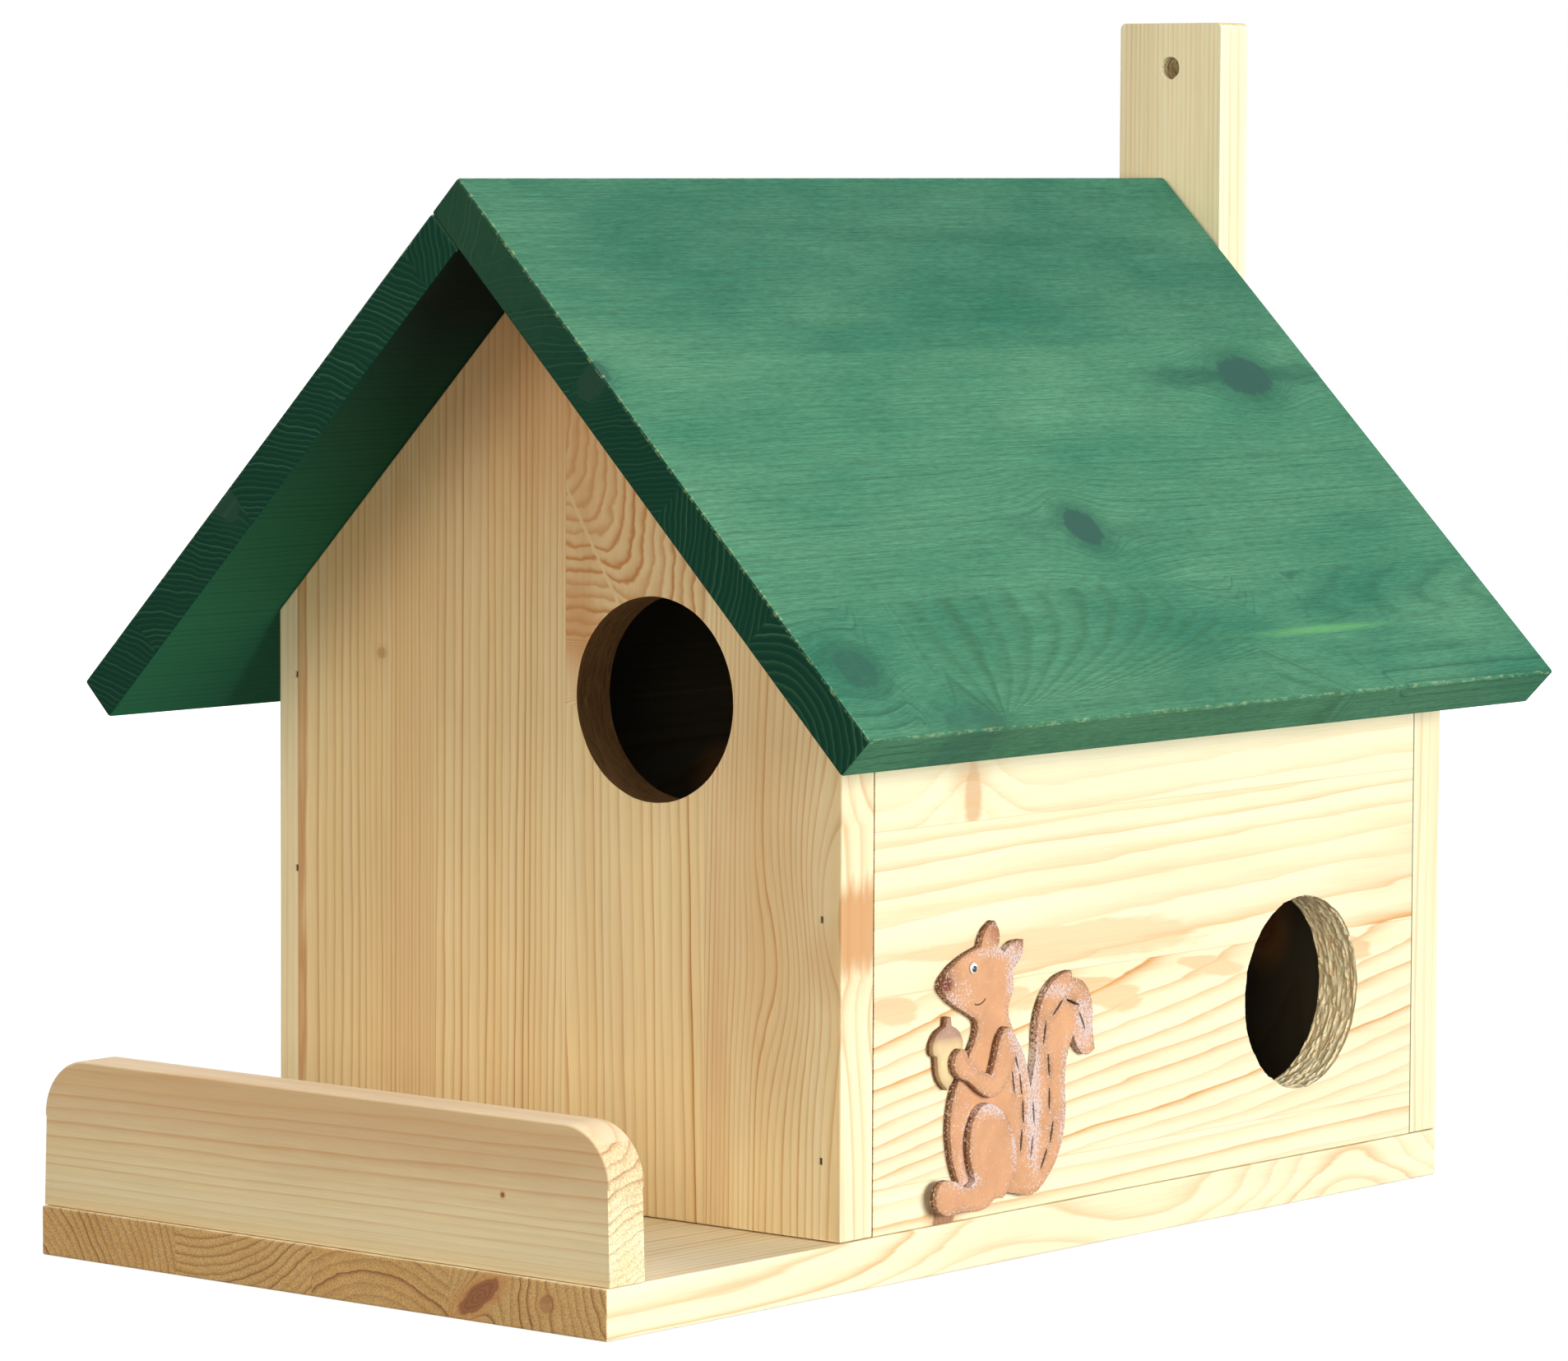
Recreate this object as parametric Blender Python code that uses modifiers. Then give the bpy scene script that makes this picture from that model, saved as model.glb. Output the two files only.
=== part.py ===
"""Squirrel house built from edge-glued pine boards.

The house stands on its floor board, which runs out in front as a porch with a low rail.
A front and a back gable wall close the two side walls, the left roof board is nailed down,
and the right roof board is a lid on two butt hinges laid flat across the ridge joint.
A batten with a hanging hole stands behind the house, and a cut-out squirrel decorates
the right wall. Lengths are in metres, +Z is up and the porch faces -Y. The origin lies
under the middle of the whole object, on the plane that the floor board stands on.
"""

import math

import bmesh
import bpy
from mathutils import Matrix, Vector

# Fits that the whole object shares
GAP = 0.0003              # between pieces that touch
OVERRUN = 0.002           # how far a cutter runs past what it cuts
WELD_DISTANCE = 0.00001   # joins the loose caps of a filled outline
BOARD = 0.018             # thickness of every board

# House body
WALL_WIDTH = 0.273        # across the gable walls and the floor
BODY_DEPTH = 0.370        # from the front wall's face to the back wall's face
EAVES_HEIGHT = 0.211      # floor top to the roof's underside, above the wall's outer face
PORCH_DEPTH = 0.124       # how far the floor runs out in front of the front wall
ROOF_PITCH = math.radians(45)

# Roof boards, measured along the slope from the line where their undersides meet
ROOF_SLOPE = 0.250
ROOF_OVERHANG = 0.050     # in front of the front wall
ROOF_SETBACK = 0.0007     # keeps the lid clear of the batten behind it

# Porch rail
RAIL_HEIGHT = 0.054
RAIL_SETBACK = 0.0015     # behind the floor's front end
RAIL_CORNER_RADIUS = 0.021
RAIL_CORNER_STEPS = 8
RAIL_EDGE_RADIUS = 0.0025
RAIL_EDGE_STEPS = 2
RAIL_EDGE_PROFILE_SHARE = 0.5    # a round edge

# Entrance holes, with their centres above the floor's top face
ENTRANCE_DIAMETER = 0.074
FRONT_HOLE_OFFSET = 0.0495   # right of the house's centre
FRONT_HOLE_RISE = 0.187
SIDE_HOLE_INSET = 0.092      # in front of the back wall's face
SIDE_HOLE_RISE = 0.063
HOLE_SIDES = 56

# Hanging batten
BATTEN_WIDTH = 0.050
BATTEN_OFFSET = 0.002        # right of the house's centre
BATTEN_FOOT = 0.003          # above the plane that the floor stands on
BATTEN_RISE = 0.087          # above the line where the roof's undersides meet
BATTEN_CORNER_RADIUS = 0.0025
BATTEN_CORNER_STEPS = 4
HANGING_HOLE_DIAMETER = 0.009
HANGING_HOLE_DROP = 0.018    # from the batten's top to the hole's centre
HANGING_HOLE_SIDES = 24

# Brads: a flat shank with a slightly wider head, driven a little below the surface
BRAD_LENGTH = 0.035
BRAD_WIDTH = 0.0012
BRAD_THICKNESS = 0.0010
BRAD_HEAD_WIDTH = 0.0020
BRAD_HEAD_HEIGHT = 0.0008
BRAD_HEAD_TAPER = 0.0003     # the head slopes into the shank
BRAD_SINK = 0.0005
BRAD_POINT = 0.0015

# Where the brads go, as shares of the wall that receives them
WALL_BRAD_HEIGHT_SHARES = (0.135, 0.54, 0.885)
FLOOR_BRAD_WIDTH_SHARES = (-0.3, 0.3)
FLOOR_BRAD_DEPTH_SHARES = (0.33, 0.67)
RAIL_BRAD_WIDTH_SHARES = (-0.35, 0.0, 0.35)
ROOF_BRAD_SLOPE_SHARES = (0.2, 0.5, 0.8)

# Screws, as turned shapes
SCREW_SIDES = 12
BATTEN_SCREW_LENGTH = 0.034
BATTEN_SCREW_RADIUS = 0.002
BATTEN_SCREW_HEAD_RADIUS = 0.004
BATTEN_SCREW_HEIGHT_SHARES = (0.12, 0.50, 0.83)     # of the back wall's height

# Butt hinges of the lid
HINGE_LENGTH = 0.040
HINGE_INSET = 0.080          # from each end of the roof board to the hinge's middle
LEAF_WIDTH = 0.015           # from the pin's centre to the leaf's edge
LEAF_THICKNESS = 0.0012
PIN_RADIUS = 0.0012
PIN_HEAD_RADIUS = 0.0021
PIN_HEAD_HEIGHT = 0.0006
KNUCKLE_RADIUS = PIN_RADIUS + GAP + LEAF_THICKNESS
KNUCKLE_SIDES = 20
KNUCKLE_COUNT = 3
HINGE_SCREW_LENGTH = 0.016
HINGE_SCREW_RADIUS = 0.0014
HINGE_SCREW_HEAD_RADIUS = 0.0027
HINGE_SCREW_SPACING = 0.026

# Squirrel ornament on the right wall: a back plate with raised pieces on it
ORNAMENT_WIDTH = 0.097
ORNAMENT_HEIGHT = 0.103
ORNAMENT_DEPTH = 0.0459      # from the front wall's face to the ornament's front edge
ORNAMENT_RISE = 0.0045       # above the floor's top face
ORNAMENT_THICKNESS = 0.003
EYE_RADIUS = 0.0021
EYE_HEIGHT = 0.0012
EYE_SIDES = 16
EYE_DOME_ANGLES = (0, 30, 60, 90)
FUR_SLIT_LENGTH = 0.0085
FUR_SLIT_WIDTH = 0.0011
FUR_SLIT_SIDES = 10
OUTLINE_STEPS = 4

# Outlines as shares of the ornament's width and height: corners are sharp, the rest is smooth
PLATE_SHARES = (
    (0.065, 0.795, "smooth"), (0.095, 0.835, "smooth"), (0.19, 0.885, "smooth"), (0.30, 0.915, "corner"),
    (0.325, 0.965, "smooth"), (0.38, 1.00, "corner"), (0.41, 0.955, "smooth"), (0.405, 0.905, "corner"),
    (0.44, 0.885, "corner"), (0.495, 0.915, "smooth"), (0.555, 0.92, "corner"), (0.545, 0.865, "smooth"),
    (0.49, 0.815, "corner"), (0.495, 0.75, "smooth"), (0.465, 0.68, "smooth"), (0.50, 0.60, "smooth"),
    (0.565, 0.51, "smooth"), (0.605, 0.39, "corner"), (0.635, 0.50, "smooth"), (0.64, 0.60, "smooth"),
    (0.68, 0.70, "smooth"), (0.76, 0.765, "smooth"), (0.85, 0.785, "corner"), (0.855, 0.76, "corner"),
    (0.93, 0.735, "smooth"), (0.98, 0.66, "smooth"), (0.985, 0.57, "smooth"), (1.00, 0.49, "corner"),
    (0.945, 0.475, "smooth"), (0.895, 0.505, "smooth"), (0.865, 0.555, "corner"), (0.835, 0.50, "smooth"),
    (0.815, 0.40, "smooth"), (0.82, 0.28, "smooth"), (0.79, 0.16, "smooth"), (0.71, 0.06, "smooth"),
    (0.62, 0.01, "smooth"), (0.55, 0.015, "corner"), (0.46, 0.035, "smooth"), (0.30, 0.03, "smooth"),
    (0.22, 0.045, "smooth"), (0.165, 0.12, "smooth"), (0.13, 0.22, "smooth"), (0.125, 0.33, "smooth"),
    (0.16, 0.44, "smooth"), (0.225, 0.53, "smooth"), (0.275, 0.60, "smooth"), (0.28, 0.65, "smooth"),
    (0.235, 0.68, "smooth"), (0.16, 0.715, "smooth"), (0.095, 0.755, "smooth"),
)
LEG_SHARES = (
    (0.00, 0.06, "smooth"), (0.035, 0.115, "smooth"), (0.11, 0.115, "smooth"), (0.185, 0.085, "smooth"),
    (0.235, 0.10, "corner"), (0.20, 0.20, "smooth"), (0.215, 0.30, "smooth"), (0.285, 0.365, "smooth"),
    (0.375, 0.345, "smooth"), (0.45, 0.265, "smooth"), (0.48, 0.165, "smooth"), (0.46, 0.075, "smooth"),
    (0.40, 0.025, "corner"), (0.35, 0.025, "smooth"), (0.30, 0.00, "smooth"), (0.15, 0.00, "smooth"),
    (0.04, 0.005, "smooth"),
)
ARM_SHARES = (
    (0.475, 0.575, "smooth"), (0.465, 0.50, "smooth"), (0.41, 0.42, "smooth"), (0.34, 0.385, "smooth"),
    (0.27, 0.405, "smooth"), (0.19, 0.455, "smooth"), (0.135, 0.475, "smooth"), (0.105, 0.515, "smooth"),
    (0.12, 0.56, "smooth"), (0.165, 0.57, "smooth"), (0.19, 0.53, "corner"), (0.26, 0.49, "smooth"),
    (0.33, 0.465, "corner"), (0.355, 0.53, "smooth"), (0.385, 0.60, "smooth"), (0.43, 0.625, "smooth"),
)
ACORN_SHARES = (
    (0.105, 0.43, "corner"), (0.15, 0.475, "smooth"), (0.165, 0.55, "corner"), (0.195, 0.565, "smooth"),
    (0.18, 0.625, "smooth"), (0.13, 0.655, "corner"), (0.125, 0.685, "corner"), (0.105, 0.685, "corner"),
    (0.10, 0.655, "corner"), (0.04, 0.625, "smooth"), (0.02, 0.565, "smooth"), (0.045, 0.55, "corner"),
    (0.06, 0.475, "smooth"),
)
EYE_SHARES = (0.25, 0.845)

# Fur slits: place as shares of the width and height, then the turn from level in degrees
FUR_SLIT_SHARES = (
    (0.515, 0.50, 112), (0.545, 0.41, 100), (0.56, 0.31, 93), (0.55, 0.21, 84), (0.50, 0.42, 100),
    (0.625, 0.30, 96), (0.615, 0.18, 80), (0.69, 0.58, 80), (0.715, 0.46, 96), (0.72, 0.34, 90),
    (0.735, 0.22, 78), (0.69, 0.13, 60), (0.77, 0.66, 42), (0.86, 0.67, -20), (0.92, 0.60, -62),
)

# Finishes: linear colour, roughness and metallic value
FINISHES = {
    "pine": ((0.68, 0.47, 0.24), 0.62, 0.0),
    "green_stained_pine": ((0.06, 0.25, 0.16), 0.66, 0.0),
    "brown_board": ((0.36, 0.15, 0.07), 0.75, 0.0),
    "eye_enamel": ((0.85, 0.85, 0.82), 0.25, 0.0),
    "steel": ((0.45, 0.45, 0.46), 0.35, 1.0),
    "zinc_plate": ((0.62, 0.62, 0.60), 0.32, 1.0),
}

# Heights and depths that follow from the sizes above
FLOOR_TOP = BOARD
WALL_FOOT = FLOOR_TOP + GAP
APEX_HEIGHT = FLOOR_TOP + EAVES_HEIGHT + WALL_WIDTH / 2 * math.tan(ROOF_PITCH)
BATTEN_TOP = APEX_HEIGHT + BATTEN_RISE
TOTAL_LENGTH = PORCH_DEPTH + BODY_DEPTH + GAP + BOARD
FLOOR_FRONT = -TOTAL_LENGTH / 2
FRONT_FACE = FLOOR_FRONT + PORCH_DEPTH
BACK_FACE = FRONT_FACE + BODY_DEPTH
ROOF_FRONT = FRONT_FACE - ROOF_OVERHANG
ROOF_BACK = BACK_FACE - ROOF_SETBACK
SIDE_FRONT = FRONT_FACE + BOARD + GAP
SIDE_BACK = BACK_FACE - BOARD - GAP
WALL_FACE = WALL_WIDTH / 2
SIDE_MIDDLE = WALL_FACE - BOARD / 2

# Directions of the two slopes, seen from the front
LEFT_OUT = Vector((-math.sin(ROOF_PITCH), 0, math.cos(ROOF_PITCH)))
LEFT_DOWN = Vector((-math.cos(ROOF_PITCH), 0, -math.sin(ROOF_PITCH)))
RIGHT_OUT = Vector((math.sin(ROOF_PITCH), 0, math.cos(ROOF_PITCH)))
RIGHT_DOWN = Vector((math.cos(ROOF_PITCH), 0, -math.sin(ROOF_PITCH)))
RIDGE_SINE = math.sin(2 * ROOF_PITCH)
RIDGE_COSINE = math.cos(2 * ROOF_PITCH)
APEX = Vector((0, 0, APEX_HEIGHT))
RIDGE_JOINT = APEX - RIGHT_DOWN * (BOARD / RIDGE_SINE)
HINGE_AXIS = RIDGE_JOINT + LEFT_OUT * (GAP + KNUCKLE_RADIUS)

UPRIGHT = Matrix.Rotation(math.radians(90), 4, "X")
ON_RIGHT_WALL = Matrix.Rotation(math.radians(90), 4, "Z") @ UPRIGHT


def clear_scene():
    for old in list(bpy.data.objects):
        bpy.data.objects.remove(old, do_unlink=True)


def new_collection(name):
    made = bpy.data.collections.new(name)
    bpy.context.scene.collection.children.link(made)
    return made


def paint(piece, finish):
    """Give a piece a material of its own in one of the finishes."""
    colour, roughness, metallic = FINISHES[finish]
    made = bpy.data.materials.new(piece.name + "_" + finish)
    made.use_nodes = True
    shader = made.node_tree.nodes["Principled BSDF"]
    shader.inputs["Base Color"].default_value = (*colour, 1)
    shader.inputs["Roughness"].default_value = roughness
    shader.inputs["Metallic"].default_value = metallic
    made.diffuse_color = (*colour, 1)
    piece.data.materials.clear()
    piece.data.materials.append(made)


def frame_matrix(across, up, place):
    """Axes for an outline: its x runs along across, its y along up."""
    through = across.cross(up)
    turn = Matrix((across, up, through)).transposed().to_4x4()
    return Matrix.Translation(place) @ turn


def link_mesh(name, mesh, place, collection):
    piece = bpy.data.objects.new(name, mesh)
    piece.matrix_world = place
    collection.objects.link(piece)
    return piece


def filled_outline(name, outlines, thickness, place, collection):
    """A flat piece: closed outlines, the first one outside and the others holes in it."""
    curve = bpy.data.curves.new(name, "CURVE")
    curve.dimensions = "2D"
    curve.fill_mode = "BOTH"
    curve.extrude = thickness / 2
    curve.resolution_u = OUTLINE_STEPS
    for outline in outlines:
        smooth = len(outline[0]) == 3
        spline = curve.splines.new("BEZIER" if smooth else "POLY")
        spline.use_cyclic_u = True
        points = spline.bezier_points if smooth else spline.points
        points.add(len(outline) - 1)
        for point, values in zip(points, outline):
            if smooth:
                point.co = (values[0], values[1], 0)
                handle = "VECTOR" if values[2] == "corner" else "AUTO"
                point.handle_left_type = point.handle_right_type = handle
            else:
                point.co = (values[0], values[1], 0, 1)
    drawn = bpy.data.objects.new(name + "_outline", curve)
    bpy.context.scene.collection.objects.link(drawn)
    evaluated = drawn.evaluated_get(bpy.context.evaluated_depsgraph_get())
    mesh = bpy.data.meshes.new_from_object(evaluated)
    bpy.data.objects.remove(drawn, do_unlink=True)
    shape = bmesh.new()
    shape.from_mesh(mesh)
    bmesh.ops.remove_doubles(shape, verts=shape.verts, dist=WELD_DISTANCE)
    bmesh.ops.recalc_face_normals(shape, faces=shape.faces)
    shape.to_mesh(mesh)
    shape.free()
    mesh.name = name
    return link_mesh(name, mesh, place, collection)


def arc(centre, radius, first, last, steps):
    """Points along a round stretch of an outline, angles in degrees."""
    points = []
    for step in range(steps + 1):
        angle = math.radians(first + (last - first) * step / steps)
        points.append((centre[0] + radius * math.cos(angle), centre[1] + radius * math.sin(angle)))
    return points


def box(name, low, high, collection):
    """A board between two corners."""
    low, high = Vector(low), Vector(high)
    shape = bmesh.new()
    bmesh.ops.create_cube(shape, size=1, matrix=Matrix.Diagonal((*(high - low), 1)))
    mesh = bpy.data.meshes.new(name)
    shape.to_mesh(mesh)
    shape.free()
    return link_mesh(name, mesh, Matrix.Translation((low + high) / 2), collection)


def cylinder(name, radius, length, sides, place, collection):
    """A round bar along its own z axis, its middle at the given place."""
    shape = bmesh.new()
    bmesh.ops.create_cone(shape, cap_ends=True, segments=sides, radius1=radius, radius2=radius, depth=length)
    mesh = bpy.data.meshes.new(name)
    shape.to_mesh(mesh)
    shape.free()
    return link_mesh(name, mesh, place, collection)


def turned(name, profile, sides, place, collection):
    """A turned piece: a profile of (radius, height) from top to bottom, spun about its z axis."""
    mesh = bpy.data.meshes.new(name)
    points = [(radius, 0, height) for radius, height in profile]
    mesh.from_pydata(points, [(step, step + 1) for step in range(len(points) - 1)], [])
    piece = link_mesh(name, mesh, place, collection)
    spin = piece.modifiers.new("Spin", "SCREW")
    spin.steps = spin.render_steps = sides
    spin.use_merge_vertices = True
    spin.merge_threshold = WELD_DISTANCE
    return piece


def mark_cutter(piece):
    piece.hide_render = True
    piece.display_type = "WIRE"
    return piece


def cut(piece, cutter):
    """Take a cutter out of a piece."""
    mark_cutter(cutter)
    step = piece.modifiers.new("Cut_" + cutter.name, "BOOLEAN")
    step.operation = "DIFFERENCE"
    step.solver = "EXACT"
    step.object = cutter


def outward(direction):
    """A matrix whose z axis is the given direction."""
    return direction.to_track_quat("Z", "Y").to_matrix().to_4x4()


def roof_underside(across, clearance):
    """Height of the roof's underside, less a clearance square to the slope."""
    return APEX_HEIGHT - abs(across) * math.tan(ROOF_PITCH) - clearance / math.cos(ROOF_PITCH)


def gable_wall(name, face, parts):
    """A full-width wall whose top follows both slopes; face is its y towards the porch."""
    outline = [
        (-WALL_FACE, WALL_FOOT),
        (WALL_FACE, WALL_FOOT),
        (WALL_FACE, roof_underside(WALL_FACE, GAP)),
        (0, roof_underside(0, GAP)),
        (-WALL_FACE, roof_underside(WALL_FACE, GAP)),
    ]
    place = Matrix.Translation((0, face + BOARD / 2, 0)) @ UPRIGHT
    wall = filled_outline(name, [outline], BOARD, place, parts)
    paint(wall, "pine")
    return wall


def side_wall(name, side, parts):
    """A wall between the gable walls, its top bevelled to the slope; side is 1 for the right."""
    inner = WALL_FACE - BOARD
    outline = [
        (side * inner, WALL_FOOT),
        (side * WALL_FACE, WALL_FOOT),
        (side * WALL_FACE, roof_underside(WALL_FACE, GAP)),
        (side * inner, roof_underside(inner, GAP)),
    ]
    place = Matrix.Translation((0, (SIDE_FRONT + SIDE_BACK) / 2, 0)) @ UPRIGHT
    wall = filled_outline(name, [outline], SIDE_BACK - SIDE_FRONT, place, parts)
    paint(wall, "pine")
    return wall


def entrance(wall, place, along, cutters):
    """Bore a round entrance through a wall."""
    drill = cylinder(wall.name + "_entrance", ENTRANCE_DIAMETER / 2, BOARD + 2 * OVERRUN, HOLE_SIDES,
                     Matrix.Translation(place) @ outward(along), cutters)
    cut(wall, drill)


def slope_point(down, out, distance, height):
    """A point on a slope's cross-section as (x, z)."""
    place = APEX + down * distance + out * height
    return (place.x, place.z)


def roof_boards(parts):
    """The left board butts under the lid, and the lid laps over the left board's upper end."""
    left_end = [(GAP + height * RIDGE_COSINE) / RIDGE_SINE for height in (0, BOARD)]
    lid_end = [(height * RIDGE_COSINE - BOARD) / RIDGE_SINE for height in (0, BOARD)]
    made = []
    for name, down, out, ends in (
        ("left_roof_board", LEFT_DOWN, LEFT_OUT, left_end),
        ("right_roof_board", RIGHT_DOWN, RIGHT_OUT, lid_end),
    ):
        outline = [
            slope_point(down, out, ends[0], 0),
            slope_point(down, out, ROOF_SLOPE, 0),
            slope_point(down, out, ROOF_SLOPE, BOARD),
            slope_point(down, out, ends[1], BOARD),
        ]
        place = Matrix.Translation((0, (ROOF_FRONT + ROOF_BACK) / 2, 0)) @ UPRIGHT
        board = filled_outline(name, [outline], ROOF_BACK - ROOF_FRONT, place, parts)
        paint(board, "green_stained_pine")
        made.append(board)
    return made


def porch_rail(parts):
    """A low board across the porch, rounded at its top corners and along its top edges."""
    top = WALL_FOOT + RAIL_HEIGHT
    corner = WALL_FACE - RAIL_CORNER_RADIUS
    outline = [(-WALL_FACE, WALL_FOOT), (WALL_FACE, WALL_FOOT)]
    outline += arc((corner, top - RAIL_CORNER_RADIUS), RAIL_CORNER_RADIUS, 0, 90, RAIL_CORNER_STEPS)
    outline += arc((-corner, top - RAIL_CORNER_RADIUS), RAIL_CORNER_RADIUS, 90, 180, RAIL_CORNER_STEPS)
    middle = FLOOR_FRONT + RAIL_SETBACK + BOARD / 2
    place = Matrix.Translation((0, middle, 0)) @ UPRIGHT
    rail = filled_outline("porch_rail", [outline], BOARD, place, parts)
    shape = bmesh.new()
    shape.from_mesh(rail.data)
    shoulder = top - RAIL_CORNER_RADIUS - GAP
    rounded = []
    for edge in shape.edges:
        first, second = edge.verts
        level = abs(first.co.z - second.co.z) < WELD_DISTANCE
        outer = len({round(face.normal.z) for face in edge.link_faces}) > 1
        if level and outer and min(first.co.y, second.co.y) > shoulder:
            rounded.append(edge)
    bmesh.ops.bevel(shape, geom=rounded, offset=RAIL_EDGE_RADIUS, segments=RAIL_EDGE_STEPS,
                    profile=RAIL_EDGE_PROFILE_SHARE, affect="EDGES", clamp_overlap=True)
    shape.to_mesh(rail.data)
    shape.free()
    paint(rail, "pine")
    return rail


def hanging_batten(parts, cutters):
    """An upright behind the back wall with a hole near its top."""
    half = BATTEN_WIDTH / 2
    corner = half - BATTEN_CORNER_RADIUS
    height = BATTEN_TOP - BATTEN_CORNER_RADIUS
    outline = [(-half, BATTEN_FOOT), (half, BATTEN_FOOT)]
    outline += arc((corner, height), BATTEN_CORNER_RADIUS, 0, 90, BATTEN_CORNER_STEPS)
    outline += arc((-corner, height), BATTEN_CORNER_RADIUS, 90, 180, BATTEN_CORNER_STEPS)
    middle = Vector((BATTEN_OFFSET, BACK_FACE + GAP + BOARD / 2, 0))
    batten = filled_outline("hanging_batten", [outline], BOARD, Matrix.Translation(middle) @ UPRIGHT, parts)
    paint(batten, "pine")
    hole = middle + Vector((0, 0, BATTEN_TOP - HANGING_HOLE_DROP))
    drill = cylinder("hanging_hole", HANGING_HOLE_DIAMETER / 2, BOARD + 2 * OVERRUN, HANGING_HOLE_SIDES,
                     Matrix.Translation(hole) @ outward(Vector((0, 1, 0))), cutters)
    cut(batten, drill)
    return batten


def brad_outline(grown, top):
    """A brad seen flat on, its head's top at y = top; grown widens it all round."""
    head = BRAD_HEAD_WIDTH / 2 + grown
    shank = BRAD_WIDTH / 2 + grown
    shoulder = -BRAD_SINK - BRAD_HEAD_HEIGHT - grown
    neck = shoulder - BRAD_HEAD_TAPER
    tip = -BRAD_SINK - BRAD_LENGTH - grown
    return [
        (-head, top), (-head, shoulder), (-shank, neck), (-shank, tip + BRAD_POINT),
        (0, tip), (shank, tip + BRAD_POINT), (shank, neck), (head, shoulder), (head, top),
    ]


def brad(name, place, out, across, boards, parts, cutters):
    """Drive one brad at a point of a surface, against the direction out, through the boards."""
    frame = frame_matrix(across, out, place)
    nail = filled_outline(name, [brad_outline(0, -BRAD_SINK)], BRAD_THICKNESS, frame, parts)
    paint(nail, "steel")
    slot = filled_outline(name + "_slot", [brad_outline(GAP, OVERRUN)], BRAD_THICKNESS + 2 * GAP, frame, cutters)
    for board in boards:
        cut(board, slot)


def drive_brads(boards, parts, cutters):
    """All brads of the house, each through one board into the next."""
    front, back = boards["front_wall"], boards["back_wall"]
    floor, rail = boards["floor_board"], boards["porch_rail"]
    ahead, behind, down = Vector((0, -1, 0)), Vector((0, 1, 0)), Vector((0, 0, -1))
    along_x, along_y, upward = Vector((1, 0, 0)), Vector((0, 1, 0)), Vector((0, 0, 1))
    heights = [FLOOR_TOP + share * EAVES_HEIGHT for share in WALL_BRAD_HEIGHT_SHARES]
    for side, label in ((-1, "left"), (1, "right")):
        wall = boards[label + "_wall"]
        for number, height in enumerate(heights, 1):
            at = side * SIDE_MIDDLE
            brad(f"front_{label}_brad_{number}", Vector((at, FRONT_FACE, height)), ahead, upward,
                 (front, wall), parts, cutters)
            brad(f"back_{label}_brad_{number}", Vector((at, BACK_FACE, height)), behind, upward,
                 (back, wall), parts, cutters)
        for number, share in enumerate(FLOOR_BRAD_DEPTH_SHARES, 1):
            place = Vector((side * SIDE_MIDDLE, FRONT_FACE + share * BODY_DEPTH, 0))
            brad(f"floor_{label}_brad_{number}", place, down, along_y, (floor, wall), parts, cutters)
    for label, wall, depth in (("front", front, FRONT_FACE + BOARD / 2), ("back", back, BACK_FACE - BOARD / 2)):
        for number, share in enumerate(FLOOR_BRAD_WIDTH_SHARES, 1):
            place = Vector((share * WALL_WIDTH, depth, 0))
            brad(f"floor_{label}_brad_{number}", place, down, along_x, (floor, wall), parts, cutters)
        slope = WALL_FACE / math.cos(ROOF_PITCH)
        for number, share in enumerate(ROOF_BRAD_SLOPE_SHARES, 1):
            place = APEX + LEFT_OUT * BOARD + LEFT_DOWN * (share * slope)
            place.y = depth
            brad(f"roof_{label}_brad_{number}", place, LEFT_OUT, LEFT_DOWN,
                 (boards["left_roof_board"], wall), parts, cutters)
    for number, share in enumerate(RAIL_BRAD_WIDTH_SHARES, 1):
        place = Vector((share * WALL_WIDTH, FLOOR_FRONT + RAIL_SETBACK + BOARD / 2, 0))
        brad(f"rail_brad_{number}", place, down, along_x, (floor, rail), parts, cutters)


def screw_profile(length, radius, head_radius, grown, top):
    """A countersunk screw from the top of its head to its point, as (radius, height)."""
    cone = head_radius - radius
    return [
        (0, top), (head_radius + grown, top), (head_radius + grown, -GAP),
        (radius + grown, -GAP - cone - grown), (radius + grown, -length + radius - grown),
        (0, -length - grown),
    ]


def screw(name, place, out, sizes, finish, pieces, parts, cutters):
    """Drive a countersunk screw at a point of a surface, through the pieces."""
    frame = Matrix.Translation(place) @ outward(out)
    made = turned(name, screw_profile(*sizes, 0, 0), SCREW_SIDES, frame, parts)
    paint(made, finish)
    hole = turned(name + "_hole", screw_profile(*sizes, GAP, OVERRUN), SCREW_SIDES, frame, cutters)
    for piece in pieces:
        cut(piece, hole)
    return made


def fix_batten(batten, back_wall, parts, cutters):
    sizes = (BATTEN_SCREW_LENGTH, BATTEN_SCREW_RADIUS, BATTEN_SCREW_HEAD_RADIUS)
    behind = BACK_FACE + GAP + BOARD
    for number, share in enumerate(BATTEN_SCREW_HEIGHT_SHARES, 1):
        place = Vector((BATTEN_OFFSET, behind, WALL_FOOT + share * (APEX_HEIGHT - WALL_FOOT)))
        screw(f"batten_screw_{number}", place, Vector((0, 1, 0)), sizes, "zinc_plate",
              (batten, back_wall), parts, cutters)


def leaf_outline():
    """A hinge leaf in cross-section, rolled round the pin at the origin; its underside is at -y."""
    under = -KNUCKLE_RADIUS
    over = under + LEAF_THICKNESS
    meeting = math.degrees(math.asin(over / KNUCKLE_RADIUS))
    rolled = arc((0, 0), KNUCKLE_RADIUS, meeting, 270, KNUCKLE_SIDES)
    return rolled + [(LEAF_WIDTH, under), (LEAF_WIDTH, over)]


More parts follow.
